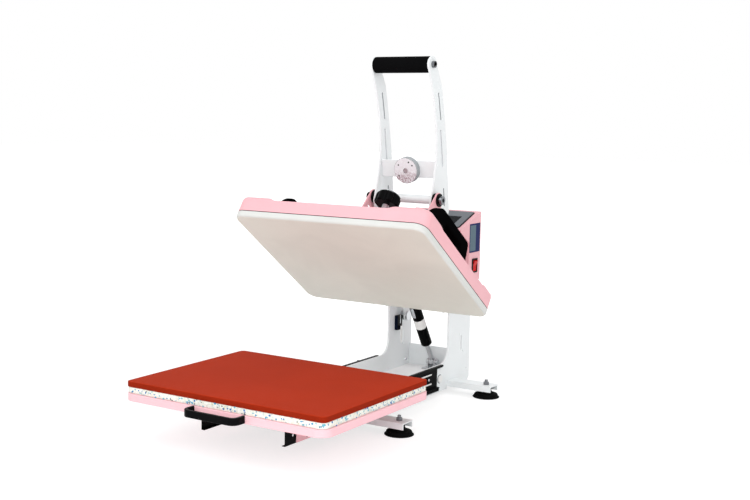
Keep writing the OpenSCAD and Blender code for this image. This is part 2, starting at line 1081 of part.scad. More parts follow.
// Moulded side handle: sloping legs and a rounded top bar
module side_handle() {
    foot = 92;
    top = 70;
    leg = 32;
    leg_top = 24;
    under = grab_h - 28;
    soft = 16;
    color([0.05, 0.05, 0.05])
        on_platen()
            translate([bed_w / 2 - grab_in, corner_y + 100 - bed_d, dip_z])
                intersection() {
                    yz(-grab_w / 2, grab_w / 2)
                        difference() {
                            polygon([[-foot, 0], [foot, 0], [top, grab_h], [-top, grab_h]]);
                            polygon([
                                [leg - foot, -cut],
                                [foot - leg, -cut],
                                [top - leg_top, under],
                                [leg_top - top, under]
                            ]);
                        }
                    translate([0, 2 * foot, 0])
                        rotate([90, 0, 0])
                            linear_extrude(4 * foot) {
                                translate([-grab_w / 2, 0])
                                    square([grab_w, grab_h - soft]);
                                translate([soft - grab_w / 2, 0])
                                    square([grab_w - 2 * soft, grab_h]);
                                for (sx = [-1, 1])
                                    translate([sx * (grab_w / 2 - soft), grab_h - soft])
                                        circle(soft);
                            }
                }
}

module side_handle_right() {
    side_handle();
}

module side_handle_left() {
    mirror([1, 0, 0])
        side_handle();
}

// Threaded post that guides the pressure screw
module knob_boss() {
    color([0.72, 0.73, 0.75])
        on_platen()
            translate([0, -knob_s, bridge_z])
                difference() {
                    union() {
                        cylinder(h = 8, r = screw_dia / 2 + 14);
                        cylinder(h = stem_top - 14 - bridge_z, r = screw_dia / 2 + 5);
                    }
                    translate([0, 0, 4])
                        cylinder(h = stem_top, r = screw_dia / 2 + run_gap);
                }
}

module on_pivot() {
    on_platen()
        translate([0, -crank_s, crank_h])
            children();
}

// Black washers on both sides of each ear
module pivot_washers() {
    color([0.06, 0.06, 0.06])
        on_pivot()
            pair()
                difference() {
                    union() {
                        rod(arm_out + side_gap, ear_in, 16);
                        rod(ear_out, ear_out + 3, 16);
                    }
                    rod(arm_out, ear_out + 4, crank_dia / 2 + run_gap);
                }
}

module pivot_bolts() {
    color([0.82, 0.83, 0.85])
        on_pivot()
            pair()
                difference() {
                    union() {
                        rod(arm_in - 6, ear_out + 4, crank_dia / 2);
                        rod(ear_out + 3, ear_out + 12, 10.5);
                    }
                    rod(ear_out + 6, ear_out + 13, 5.5, $fn = 6);
                }
}

// Fork on the bridge for the upper end of the gas spring
module gas_clevis() {
    lug_x = gas_dia / 2 + 2;
    color([0.8, 0.81, 0.83])
        on_platen() {
            translate([-lug_x - 12, -gas_s - 26, bridge_z])
                cube([2 * lug_x + 24, 30, 4]);
            translate([0, -gas_s, gas_h]) {
                pair() {
                    yz(lug_x, lug_x + 4) {
                        circle(gas_pin_dia / 2 + 5);
                        polygon([[-26, bridge_z - gas_h], [4, bridge_z - gas_h], [9, 0], [-9, 0]]);
                    }
                    rod(lug_x + 4, lug_x + 7, gas_pin_dia / 2 + 3);
                }
                rod(-lug_x - 5, lug_x + 5, gas_pin_dia / 2);
            }
        }
}

// Pressure knob

module on_knob() {
    on_platen()
        translate([0, -knob_s, 0])
            children();
}

module pressure_knob() {
    lobes = 7;
    lobe_r = 8;
    color([0.05, 0.05, 0.05])
        on_knob()
            translate([0, 0, knob_low])
                difference() {
                    intersection() {
                        linear_extrude(knob_h) {
                            circle(knob_dia / 2 - 5);
                            for (i = [0:lobes - 1])
                                rotate(i * 360 / lobes)
                                    translate([knob_dia / 2 - lobe_r, 0])
                                        circle(lobe_r);
                        }
                        rotate_extrude()
                            polygon(concat(
                                [[0, 0], [knob_dia / 2 - 4, 0], [knob_dia / 2, 4]],
                                arc([knob_dia / 2 - 9, knob_h - 9], 9, 0, 90),
                                [[0, knob_h]]
                            ));
                    }
                    translate([0, 0, -cut])
                        cylinder(h = knob_h + 2 * cut, r = screw_dia / 2);
                }
}

module pressure_screw() {
    color([0.8, 0.81, 0.83])
        on_knob()
            difference() {
                translate([0, 0, bridge_z + 6])
                    cylinder(h = knob_low + knob_h - bridge_z - 6, r = screw_dia / 2);
                translate([0, 0, knob_low + knob_h - 12])
                    cylinder(h = 13, r = 4 + run_gap);
            }
}

// Steel striker that the electromagnet holds
module striker() {
    color([0.7, 0.71, 0.72])
        on_knob()
            translate([0, 0, knob_low + knob_h]) {
                translate([0, 0, 0.3])
                    cylinder(h = striker_t, r = knob_dia / 2 - 13);
                translate([0, 0, -11])
                    cylinder(h = 12, r = 4);
            }
}

// Lever

grip_at = [-23, grip_up];
grip_rod_r = 8;
grip_bolt_r = 5;

module arm_outline() {
    difference() {
        union() {
            polygon(concat(
                bend(grip_at + [-18, -5], [8, 206], [8, 126]),
                bend([8, 126], [9, 76], [-18, -8]),
                [[-18, -8], [-6, -44], [72, -44]],
                bend([77, -29], [46, 206], grip_at + [17, 6]),
                [grip_at + [17, 6]]
            ));
            translate(grip_at)
                circle(grip_dia / 2);
        }
        circle(crank_dia / 2 + run_gap);
        translate(toggle - crank)
            circle(pin_dia / 2);
        translate(grip_at)
            circle(grip_bolt_r);
        capsule([9, 253], [23, 192], 2.2);
        capsule([24.5, 164], [38, 82], 3.2);
        capsule([46, 24], [52, -16], 2.2);
        translate([9.7, 82])
            circle(2.2);
    }
}

module lever_arm_right() {
    color([0.93, 0.94, 0.94])
        on_lever()
            yz(arm_in, arm_out)
                arm_outline();
}

module lever_arm_left() {
    color([0.93, 0.94, 0.94])
        on_lever()
            mirror([1, 0, 0])
                yz(arm_in, arm_out)
                    arm_outline();
}

module grip() {
    color([0.06, 0.06, 0.06])
        on_lever()
            translate([0, grip_at.x, grip_at.y])
                difference() {
                    rod(-arm_in, arm_in, grip_dia / 2);
                    rod(-arm_in - cut, arm_in + cut, grip_rod_r);
                }
}

module grip_rod() {
    color([0.75, 0.76, 0.78])
        on_lever()
            translate([0, grip_at.x, grip_at.y])
                difference() {
                    rod(-arm_in, arm_in, grip_rod_r);
                    pair()
                        rod(arm_in - 25, arm_in + cut, grip_bolt_r);
                }
}

module grip_bolts() {
    color([0.82, 0.83, 0.85])
        on_lever()
            translate([0, grip_at.x, grip_at.y])
                pair()
                    difference() {
                        union() {
                            rod(arm_in - 24, arm_out + 1, grip_bolt_r);
                            rod(arm_out, arm_out + 7, 8);
                        }
                        rod(arm_out + 3, arm_out + 8, 4, $fn = 6);
                    }
}

magnet_tip = 10;

// Electromagnet frame: the origin is the centre of the face, +Y is the back
module on_magnet() {
    on_lever()
        translate([0, -2, 67])
            rotate([magnet_tip, 0, 0])
                children();
}

module magnet_plate() {
    color([0.93, 0.94, 0.94])
        on_magnet()
            translate([-arm_in, magnet_t, -20])
                cube([2 * arm_in, 5, 42]);
}

module electromagnet() {
    color([0.8, 0.81, 0.82])
        on_magnet()
            rotate([-90, 0, 0])
                difference() {
                    union() {
                        translate([0, 0, 1])
                            cylinder(h = magnet_t - 1, r = magnet_dia / 2);
                        cylinder(h = magnet_t, r = magnet_dia / 2 - 1);
                    }
                    translate([0, 0, -cut])
                        cylinder(h = cut + 3, r = 6);
                    for (a = [-65, -35, -145, 145])
                        rotate(a)
                            translate([magnet_dia / 2 - 9, 0, -cut])
                                cylinder(h = cut + 2, r = 2);
                }
}

module magnet_screw() {
    color([0.6, 0.61, 0.62])
        on_magnet()
            rotate([-90, 0, 0])
                difference() {
                    translate([0, 0, 0.5])
                        cylinder(h = 2.5, r = 5.4);
                    cylinder(h = 1.6, r = 2.6, $fn = 6);
                }
}

module cross_tube() {
    color([0.93, 0.94, 0.94])
        on_lever()
            difference() {
                rod(-arm_in, arm_in, tube_dia / 2);
                rod(-arm_in - cut, arm_in + cut, crank_dia / 2 + 1);
            }
}

// Pins on the arms that the toggle links hang on
module toggle_pins() {
    color([0.8, 0.81, 0.83])
        on_lever()
            translate([0, toggle.x - crank.x, toggle.y - crank.y])
                pair() {
                    rod(link_in - 4, arm_out, pin_dia / 2);
                    rod(link_in - 4, link_in - side_gap, pin_dia / 2 + 4);
                    rod(link_out + side_gap, arm_in, pin_dia / 2 + 3);
                    rod(arm_out, arm_out + 2, pin_dia / 2 + 2);
                }
}

module toggle_links() {
    color([0.9, 0.91, 0.92])
        set()
            pair()
                yz(link_in, link_out)
                    difference() {
                        union() {
                            capsule(fulcrum, toggle, link_w / 2);
                            translate(fulcrum)
                                circle(shaft_dia / 2 + 6);
                            translate(toggle)
                                circle(pin_dia / 2 + 6);
                        }
                        translate(fulcrum)
                            circle(shaft_dia / 2 + run_gap);
                        translate(toggle)
                            circle(pin_dia / 2 + toggle_play);
                    }
}

// Gas spring

module gas_rod() {
    color([0.72, 0.73, 0.74])
        on_gas()
            difference() {
                union() {
                    rod(-6, 6, 10);
                    cylinder(h = gas_rod_len, r = gas_rod_dia / 2);
                }
                rod(-7, 7, gas_pin_dia / 2 + run_gap);
            }
}

module gas_cylinder() {
    eye = gas_dia / 2 - 4;
    color([0.05, 0.05, 0.05])
        on_gas()
            difference() {
                union() {
                    translate([0, 0, gas_neck])
                        cylinder(h = gas_len - 26 - gas_neck, r = gas_dia / 2);
                    yz(-eye, eye) {
                        translate([-gas_eye_r, gas_len - 30])
                            square([2 * gas_eye_r, 30 + gas_play]);
                        translate([0, gas_len + gas_play])
                            circle(gas_eye_r);
                    }
                }
                translate([0, 0, gas_neck - cut])
                    cylinder(h = gas_rod_len, r = gas_rod_dia / 2 + run_gap);
                yz(-eye - cut, eye + cut)
                    capsule([0, gas_len - gas_play], [0, gas_len + gas_play], gas_pin_dia / 2 + 0.15);
            }
}

silicone_mat();
foam_pad();
tray();
tray_handle();
tray_brackets();
tray_screws();
slide_rails();
slide_mid();
ball_strips();
slide_runners();
side_plate_right();
side_plate_left();
base_floor();
rear_wall();
foot_beams();
suction_feet();
foot_studs();
hinge_bolts();
fulcrum_pins();
gas_anchor();
limit_switch();
limit_lever();
control_box();
box_back();
power_inlet();
display_bezel();
display_screen();
control_board();
rocker_frame();
rocker();
heating_plate();
platen_seal();
heating_element();
insulation();
platen_cover();
ear_bracket();
swing_plate_right();
swing_plate_left();
side_handle_right();
side_handle_left();
knob_boss();
pivot_washers();
pivot_bolts();
gas_clevis();
pressure_knob();
pressure_screw();
striker();
lever_arm_right();
lever_arm_left();
grip();
grip_rod();
grip_bolts();
magnet_plate();
electromagnet();
magnet_screw();
cross_tube();
toggle_pins();
toggle_links();
gas_rod();
gas_cylinder();
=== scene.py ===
"""Looks of the semi-automatic heat press: finishes, soft pieces and small fittings."""
import json
import logging
import math
from dataclasses import dataclass, replace
from enum import Enum
from functools import cache
from typing import Callable, Sequence

import bmesh
import bpy
from mathutils import Matrix, Vector, noise


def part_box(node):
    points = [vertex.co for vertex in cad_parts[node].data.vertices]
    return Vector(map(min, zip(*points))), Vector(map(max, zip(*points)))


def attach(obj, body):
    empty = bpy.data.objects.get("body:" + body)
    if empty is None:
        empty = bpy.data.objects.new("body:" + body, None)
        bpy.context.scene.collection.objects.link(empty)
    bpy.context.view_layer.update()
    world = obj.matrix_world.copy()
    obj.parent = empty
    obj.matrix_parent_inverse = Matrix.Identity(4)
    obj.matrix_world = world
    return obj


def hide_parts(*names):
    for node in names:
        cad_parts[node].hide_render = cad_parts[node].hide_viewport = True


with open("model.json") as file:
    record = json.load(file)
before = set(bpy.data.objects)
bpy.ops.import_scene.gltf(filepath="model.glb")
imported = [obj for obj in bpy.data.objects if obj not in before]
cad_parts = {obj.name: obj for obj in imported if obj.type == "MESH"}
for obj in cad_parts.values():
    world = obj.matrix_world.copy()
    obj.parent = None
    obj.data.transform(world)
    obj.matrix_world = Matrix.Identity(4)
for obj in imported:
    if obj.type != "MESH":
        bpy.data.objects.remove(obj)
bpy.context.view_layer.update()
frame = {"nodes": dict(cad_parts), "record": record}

LOG = logging.getLogger("heat_press")
MM = 0.001
SIDES = (-1, 1)
CORNERS = ((1, -1, -90), (1, 1, 0), (-1, 1, 90), (-1, -1, 180))
Colour = tuple[int, int, int]
Pair = tuple[float, float]
Triple = tuple[float, float, float]
Object = bpy.types.Object
Tree = bpy.types.NodeTree
Outputs = bpy.types.NodeOutputs
Socket = bpy.types.NodeSocket
Face = bpy.types.MeshPolygon
Solid = bmesh.types.BMesh
Spots = Sequence[tuple[Vector, Vector]]


class Slot(Enum):
    """Material slots of the record."""

    PINK = "pink_paint"
    WHITE = "white_paint"
    BLACK_METAL = "black_metal"
    STEEL = "bright_steel"
    CHROME = "chrome"
    PLATE = "plate_alloy"
    SILICONE = "silicone"
    FOAM = "foam"
    FIBRE = "fibre"
    RUBBER = "black_rubber"
    BLACK = "black_plastic"
    GREY = "grey_plastic"
    WHITE_PLASTIC = "white_plastic"
    GLASS = "dark_glass"
    RED = "red_plastic"
    BOARD = "board"


class Body(Enum):
    """Moving bodies of the record."""

    BASE = "base"
    TABLE = "table"
    SLIDE = "slide_middle"
    PLATEN = "platen"
    LEVER = "lever"
    LINKS = "links"
    GAS_LOWER = "gas_lower"
    GAS_UPPER = "gas_upper"
    STRIKER = "striker_body"
    KNOB = "knob"
    ROCKER = "switch_rocker"
    LIMIT = "limit_arm"


class Repeat(Enum):
    """Shapes that a repeat tree can set on points."""

    SCREW = "screw_head"
    BALL = "bearing_ball"


def linear(colour: Colour, gain: float = 1.0) -> tuple[float, float, float, float]:
    """Turn a screen colour into the scene colour that a shader takes.

    Args:
        colour: Red, green and blue from 0 to 255.
        gain: Factor on the result.

    Returns:
        Red, green, blue and alpha.
    """
    parts = []
    for value in colour:
        c = value / 255
        c = c / 12.92 if c <= 0.04045 else ((c + 0.055) / 1.055) ** 2.4
        parts.append(min(gain * c, 1.0))
    return parts[0], parts[1], parts[2], 1.0


def put(name: str, data: bpy.types.ID) -> Object:
    """Put a new object with its data into the scene.

    Args:
        name: Name of the object.
        data: Its mesh, lamp or camera.

    Returns:
        The object.
    """
    result = bpy.data.objects.new(name, data)
    bpy.context.scene.collection.objects.link(result)
    return result


@dataclass
class Graph:
    """Short hand for building a node tree."""

    tree: Tree

    @classmethod
    def of(cls, block: bpy.types.Material | bpy.types.World) -> "Graph":
        """Empty graph of a material or a world.

        Args:
            block: The material or world.

        Returns:
            The graph.
        """
        block.use_nodes = True
        block.node_tree.nodes.clear()
        return cls(block.node_tree)

    def feed(self, socket: Socket, value: object) -> None:
        """Link another socket to an input, or set its value.

        Args:
            socket: The input.
            value: The other socket, or the value.
        """
        if isinstance(value, Socket):
            self.tree.links.new(value, socket)
        else:
            socket.default_value = value

    def add(
        self, kind: str, inputs: dict[str | int, object] | None = None, **settings: object
    ) -> bpy.types.Node:
        """Add a node, set its properties and feed its inputs.

        Args:
            kind: Node type name.
            inputs: Values or sockets for its inputs, by name or number.
            settings: Properties of the node by name.

        Returns:
            The new node.
        """
        node = self.tree.nodes.new(kind)
        for name, value in settings.items():
            setattr(node, name, value)
        for key, value in (inputs or {}).items():
            self.feed(node.inputs[key], value)
        return node

    def math(self, operation: str, first: object, second: object) -> Socket:
        """Output of a Math node on two sockets or numbers."""
        return self.add("ShaderNodeMath", {0: first, 1: second}, operation=operation).outputs[0]

    def mix(self, factor: Socket, first: object, second: object) -> Socket:
        """Mix of two colours."""
        node = self.add("ShaderNodeMix", {"Factor": factor, 6: first, 7: second}, data_type="RGBA")
        return node.outputs[2]

    def remap(
        self, value: Socket, start: Pair = (0.0, 1.0), goal: Pair = (0.0, 1.0), smooth: bool = False
    ) -> Socket:
        """Move a value from one range to another.

        Args:
            value: The value.
            start: Range that it comes from.
            goal: Range that it goes to.
            smooth: Whether the ends are eased.

        Returns:
            The moved value.
        """
        ends = {"From Min": start[0], "From Max": start[1], "To Min": goal[0], "To Max": goal[1]}
        kind = "SMOOTHSTEP" if smooth else "LINEAR"
        node = self.add("ShaderNodeMapRange", {"Value": value, **ends}, interpolation_type=kind)
        return node.outputs["Result"]

    def steps(self, value: Socket, stops: Sequence[tuple[float, Colour]]) -> Socket:
        """Colour of the last stop that a value has passed.

        Args:
            value: The value.
            stops: Start and screen colour of each stop.

        Returns:
            The colour.
        """
        node = self.add("ShaderNodeValToRGB", {"Fac": value})
        elements = node.color_ramp.elements
        node.color_ramp.interpolation = "CONSTANT"
        for k, (at, colour) in enumerate(stops):
            stop = elements[k] if k < 2 else elements.new(at)
            stop.position = at
            stop.color = linear(colour)
        return node.outputs["Color"]

    def split(self, vector: Socket) -> Outputs:
        """X, Y and Z of a vector."""
        return self.add("ShaderNodeSeparateXYZ", {"Vector": vector}).outputs

    def group(self, tree: Tree, place: Socket, **values: float) -> bpy.types.Node:
        """Place a shared effect that reads some coordinates, with its own values."""
        return self.add("ShaderNodeGroup", {"Vector": place, **values}, node_tree=tree)


class Effects:
    """Shader node groups that several finishes share."""

    @staticmethod
    def start(
        name: str, inputs: dict[str, float], outputs: Sequence[str]
    ) -> tuple[Graph, bpy.types.Node, bpy.types.Node]:
        """Start a group with a Vector input, value inputs and value outputs.

        Args:
            name: Name of the group.
            inputs: Names and defaults of the value inputs.
            outputs: Names of the value outputs.

        Returns:
            The graph, its input node and its output node.
        """
        tree = bpy.data.node_groups.new(name, "ShaderNodeTree")
        tree.interface.new_socket("Vector", in_out="INPUT", socket_type="NodeSocketVector")
        for label, value in inputs.items():
            socket = tree.interface.new_socket(
                label, in_out="INPUT", socket_type="NodeSocketFloat"
            )
            socket.default_value = value
        for label in outputs:
            tree.interface.new_socket(label, in_out="OUTPUT", socket_type="NodeSocketFloat")
        graph = Graph(tree)
        return graph, graph.add("NodeGroupInput"), graph.add("NodeGroupOutput")

    @staticmethod
    @cache
    def grain() -> Tree:
        """Fine grain: a mask from 0 to 1 and a height for bump.

        Returns:
            The node group.
        """
        graph, given, out = Effects.start("fine_grain", {"Scale": 900.0}, ("Mask", "Height"))
        place = {key: given.outputs[key] for key in ("Vector", "Scale")}
        cloud = graph.add("ShaderNodeTexNoise", {**place, "Detail": 3.0, "Roughness": 0.55})
        graph.feed(out.inputs["Mask"], graph.remap(cloud.outputs["Fac"], (0.3, 0.7)))
        graph.feed(out.inputs["Height"], cloud.outputs["Fac"])
        return graph.tree

    @staticmethod
    @cache
    def blotch() -> Tree:
        """Wide soft clouds for slow changes of tone and gloss.

        Returns:
            The node group.
        """
        graph, given, out = Effects.start("soft_blotch", {"Scale": 6.0}, ("Mask",))
        place = {key: given.outputs[key] for key in ("Vector", "Scale")}
        cloud = graph.add("ShaderNodeTexNoise", {**place, "Detail": 5.0, "Distortion": 0.6})
        mask = graph.remap(cloud.outputs["Fac"], (0.32, 0.68), smooth=True)
        graph.feed(out.inputs["Mask"], mask)
        return graph.tree

    @staticmethod
    @cache
    def dust() -> Tree:
        """Faint dust that settles on faces that look up.

        Returns:
            The node group.
        """
        graph, given, out = Effects.start("settled_dust", {"Amount": 0.1}, ("Mask",))
        normal = graph.add("ShaderNodeNewGeometry").outputs["Normal"]
        cloud = graph.add(
            "ShaderNodeTexNoise",
            {"Vector": given.outputs["Vector"], "Scale": 45.0, "Detail": 6.0},
        )
        up = graph.math("MAXIMUM", graph.split(normal)["Z"], 0.0)
        up = graph.math("POWER", up, 3.0)
        mask = graph.math("MULTIPLY", up, cloud.outputs["Fac"])
        mask = graph.math("MULTIPLY", mask, given.outputs["Amount"])
        graph.feed(out.inputs["Mask"], mask)
        return graph.tree


DUST: Colour = (196, 192, 186)
TONE_SCALE = 7.0
GRAIN_HEIGHT = 0.5 * MM


@dataclass(frozen=True)
class Finish:
    """A finish with grain, slow changes of tone and a little dust.

    Attributes:
        name: Name of the material.
        colour: Screen colour.
        rough: Lowest and highest roughness.
        metal: Metallic value.
        tone: Change of brightness by the soft clouds.
        grain_scale: Scale of the fine grain.
        grain_depth: Strength of the grain bump.
        dust: Amount of dust on top faces.
        specular: Specular level.
        stretch: Scale of the grain along X, Y and Z, for brushed metal.
    """

    name: str
    colour: Colour
    rough: Pair = (0.35, 0.5)
    metal: float = 0.0
    tone: float = 0.04
    grain_scale: float = 900.0
    grain_depth: float = 0.03
    dust: float = 0.02
    specular: float = 0.5
    stretch: Triple = (1.0, 1.0, 1.0)

    @cache
    def material(self) -> bpy.types.Material:
        """Build the material once and return it.

        Returns:
            The material.
        """
        result = bpy.data.materials.new(self.name)
        result.diffuse_color = linear(self.colour)
        graph = Graph.of(result)
        place = graph.add("ShaderNodeTexCoord").outputs["Object"]
        turned = graph.add("ShaderNodeMapping", {"Vector": place, "Scale": self.stretch})
        grain = graph.group(Effects.grain(), turned.outputs["Vector"], Scale=self.grain_scale)
        dust = graph.group(Effects.dust(), place, Amount=self.dust)
        bump = graph.add("ShaderNodeBump", {
            "Strength": self.grain_depth, "Distance": GRAIN_HEIGHT,
            "Height": grain.outputs["Height"],
        })
        shader = graph.add("ShaderNodeBsdfPrincipled", {
            "Base Color": graph.mix(dust.outputs["Mask"], self.base(graph, place), linear(DUST)),
            "Metallic": self.metal,
            "Roughness": graph.remap(grain.outputs["Mask"], goal=self.rough),
            "Specular IOR Level": self.specular,
            "Normal": bump.outputs["Normal"],
        })
        graph.add("ShaderNodeOutputMaterial", {"Surface": shader.outputs["BSDF"]})
        return result

    def base(self, graph: Graph, place: Socket) -> Socket:
        """Colour of the bare surface before dust, with its slow change of tone.

        Args:
            graph: The material's graph.
            place: Object coordinates.

        Returns:
            The colour.
        """
        cloud = graph.group(Effects.blotch(), place, Scale=TONE_SCALE)
        dark, bright = (linear(self.colour, 1 + way * self.tone) for way in (-1, 1))
        return graph.mix(cloud.outputs["Mask"], dark, bright)


@dataclass(frozen=True)
class ChipFoam(Finish):
    """Bonded chip foam: white crumbs with creamier and greyer ones among them.

    Attributes:
        crumb: Scale of the crumbs.
        crumbs: Share from which each colour of crumb begins.
    """

    crumb: float = 260.0
    crumbs: tuple[tuple[float, Colour], ...] = (
        (0.0, (230, 231, 222)), (0.4, (222, 223, 211)),
        (0.7, (236, 237, 230)), (0.95, (200, 209, 206)),
    )

    def base(self, graph: Graph, place: Socket) -> Socket:
        """Colour of the crumbs by cell.

        Args:
            graph: The material's graph.
            place: Object coordinates.

        Returns:
            The colour.
        """
        cells = graph.add("ShaderNodeTexVoronoi", {"Vector": place, "Scale": self.crumb})
        split = graph.add("ShaderNodeSeparateColor", {"Color": cells.outputs["Color"]})
        return graph.steps(split.outputs["Red"], self.crumbs)


@dataclass(frozen=True)
class FoamFleck(Finish):
    """Coloured chips in the foam, tinted by an attribute of each chip.

    Attributes:
        chips: Share from which each colour of chip begins.
    """

    chips: tuple[tuple[float, Colour], ...] = (
        (0.0, (58, 146, 190)), (0.28, (112, 182, 198)), (0.5, (40, 108, 176)),
        (0.66, (150, 192, 196)), (0.82, (88, 106, 112)), (0.93, (196, 196, 160)),
    )

    def base(self, graph: Graph, place: Socket) -> Socket:
        """Colour of a chip by its tint."""
        tint = graph.add("ShaderNodeAttribute", attribute_name="tint")
        return graph.steps(tint.outputs["Fac"], self.chips)


@dataclass(frozen=True)
class BarePlate(Finish):
    """Blank two-tone plate: a field of one colour on a ground of another.

    Attributes:
        ground: Colour around the field.
        field_y: Lowest and highest Y of the field in metres.
        field_z: Lowest and highest Z of the field in metres.
    """

    ground: Colour = (14, 28, 86)
    field_y: Pair = (0.43, 0.461)
    field_z: Pair = (0.346, 0.411)

    def base(self, graph: Graph, place: Socket) -> Socket:
        """Colour by whether a point lies in the field.

        Args:
            graph: The material's graph.
            place: Object coordinates.

        Returns:
            The colour.
        """
        at = graph.split(place)
        inside: object = 1.0
        for axis, (low, high) in (("Y", self.field_y), ("Z", self.field_z)):
            for test, end in (("GREATER_THAN", low), ("LESS_THAN", high)):
                inside = graph.math("MULTIPLY", inside, graph.math(test, at[axis], end))
        return graph.mix(inside, linear(self.ground), linear(self.colour))


@dataclass(frozen=True)
class MottledSteel(Finish):
    """Plated steel with blotches of painted pink reflection that grow towards its lower side.

    Attributes:
        reflection_tint: Colour of the painted pink reflection.
        reflection_scale: Scale of its blotches.
        reflection_z: Height in metres at which the painted reflection is full, and from which it is
            faint.
        reflection_share: Strength of the painted reflection at these heights.
    """

    reflection_tint: Colour = (150, 112, 122)
    reflection_scale: float = 230.0
    reflection_z: Pair = (0.53, 0.556)
    reflection_share: Pair = (1.0, 0.12)

    def base(self, graph: Graph, place: Socket) -> Socket:
        """Colour between the bright metal and its painted pink reflection.

        Args:
            graph: The material's graph.
            place: Object coordinates.

        Returns:
            The colour.
        """
        cloud = graph.group(Effects.blotch(), place, Scale=self.reflection_scale)
        height = graph.split(place)["Z"]
        fall = graph.remap(height, self.reflection_z, self.reflection_share, smooth=True)
        mask = graph.math("MULTIPLY", cloud.outputs["Mask"], fall)
        return graph.mix(mask, linear(self.colour), linear(self.reflection_tint))


PINK = Finish(
    "pink_powder_coat", (236, 178, 185), (0.34, 0.48),
    tone=0.02, grain_scale=700, specular=0.35,
)
# Paler copy of the pink coat for the tray and its brackets: painted light.
PINK_PAINTED_LIGHT = replace(PINK, name="pale_pink_coat", colour=(243, 193, 200))
WHITE = replace(PINK, name="white_powder_coat", colour=(235, 239, 240), tone=0.015)
# Brighter copy of the white coat for the base floor: painted light inside the base.
WHITE_PAINTED_LIGHT = replace(WHITE, name="bright_white_coat", colour=(250, 252, 252))
BLACK_METAL = Finish(
    "black_coated_steel", (9, 9, 10), (0.3, 0.45),
    tone=0.1, grain_scale=800, dust=0.003, specular=0.02,
)
STEEL = Finish(
    "machined_steel", (196, 198, 201), (0.2, 0.38), 1.0,
    tone=0.05, grain_scale=500, grain_depth=0.02, dust=0.0, stretch=(1.0, 1.0, 9.0),
)
CHROME = Finish(
    "polished_chrome", (214, 216, 220), (0.08, 0.16), 1.0,
    tone=0.03, grain_scale=300, grain_depth=0.005, dust=0.0,
)
# Chrome painted darker on the bolts and studs: a painted reflection of dark surroundings.
CHROME_PAINTED_DARK = Finish(
    "plated_bolt", (122, 124, 128), (0.14, 0.26), 1.0,
    tone=0.06, grain_scale=300, grain_depth=0.01, dust=0.0,
)
# The pole face takes blotches of pink painted as a reflection of the pink paint around it.
MAGNET = MottledSteel(
    "plated_pole_face", (238, 239, 242), (0.35, 0.55), 0.12, grain_scale=420, dust=0.0,
)
PLATE = Finish(
    "coated_heating_plate", (224, 222, 212), (0.34, 0.5),
    tone=0.03, grain_scale=420, grain_depth=0.02, specular=0.3,
)
# Cooler grey copy of the plate's coating for its rim: painted light on the rim.
PLATE_RIM_PAINTED_LIGHT = replace(PLATE, name="coated_plate_rim", colour=(212, 213, 210))
SILICONE = Finish(
    "red_silicone", (171, 47, 16), (0.7, 0.85),
    tone=0.03, grain_scale=1500, grain_depth=0.1, dust=0.002, specular=0.08,
)
# Darker copy of the silicone for the mat's upright sides: painted shade.
SILICONE_PAINTED_SHADE = Finish(
    "red_silicone_side", (142, 36, 12), (0.7, 0.85),
    tone=0.05, grain_scale=900, grain_depth=0.15, dust=0.0, specular=0.05,
)
FOAM = ChipFoam(
    "chip_foam", (247, 247, 240), (0.85, 0.97), grain_scale=600, grain_depth=0.3, specular=0.15,
)
FLECK = FoamFleck(
    "foam_flecks", (80, 140, 180), (0.85, 0.97), grain_depth=0.2, specular=0.15,
)
FIBRE = Finish(
    "fibre_mat", (226, 218, 196), (0.9, 0.98),
    tone=0.08, grain_scale=350, grain_depth=0.5, specular=0.1,
)
RUBBER = Finish(
    "black_rubber", (9, 9, 9), (0.6, 0.78),
    tone=0.12, grain_scale=1200, grain_depth=0.1, dust=0.003, specular=0.03,
)
GRIP = Finish(
    "grip_foam", (10, 10, 11), (0.75, 0.9),
    tone=0.15, grain_scale=1600, grain_depth=0.3, dust=0.002, specular=0.02,
)
BLACK = Finish(
    "black_moulding", (8, 8, 9), (0.24, 0.38),
    tone=0.12, grain_scale=1100, grain_depth=0.06, dust=0.002, specular=0.04,
)
MATT_BLACK = Finish(
    "matt_black_moulding", (9, 9, 10), (0.4, 0.55),
    tone=0.12, grain_scale=1100, grain_depth=0.06, dust=0.0, specular=0.0,
)
GREY = Finish(
    "grey_moulding", (112, 116, 122), (0.4, 0.55),
    tone=0.03, grain_scale=1100, grain_depth=0.05, specular=0.1,
)
WHITE_PLASTIC = Finish("white_moulding", (238, 238, 236), tone=0.02, specular=0.3)
GLASS = Finish(
    "dark_window", (44, 46, 48), (0.16, 0.26),
    tone=0.1, grain_scale=200, grain_depth=0.0, specular=0.0,
)
RED = Finish(
    "red_rocker", (206, 14, 14), (0.18, 0.28),
    tone=0.06, grain_scale=700, grain_depth=0.02, specular=0.05,
)
BLUE = Finish("blue_moulding", (9, 17, 34), tone=0.06, grain_depth=0.04, specular=0.04)
# Greys painted as shade on the slot walls of the lever arms and on the electromagnet's round side.
SHADE_GREY = Finish(
    "shaded_cut_edge", (160, 165, 168), (0.5, 0.65), tone=0.03, grain_scale=700, specular=0.2,
)
PALE_SHADE_GREY = replace(SHADE_GREY, name="pale_cut_edge", colour=(208, 212, 214))
BOARD = Finish(
    "circuit_board", (34, 104, 62), (0.4, 0.55), tone=0.1, grain_scale=400, grain_depth=0.1,
)
LABEL = BarePlate(
    "bare_label_plate", (92, 112, 124), (0.35, 0.45), grain_depth=0.01, specular=0.06,
)

FINISHES: dict[Slot, Finish] = dict(zip(Slot, (
    PINK, WHITE, BLACK_METAL, STEEL, CHROME, PLATE, SILICONE, FOAM,
    FIBRE, RUBBER, BLACK, GREY, WHITE_PLASTIC, GLASS, RED, BOARD,
)))


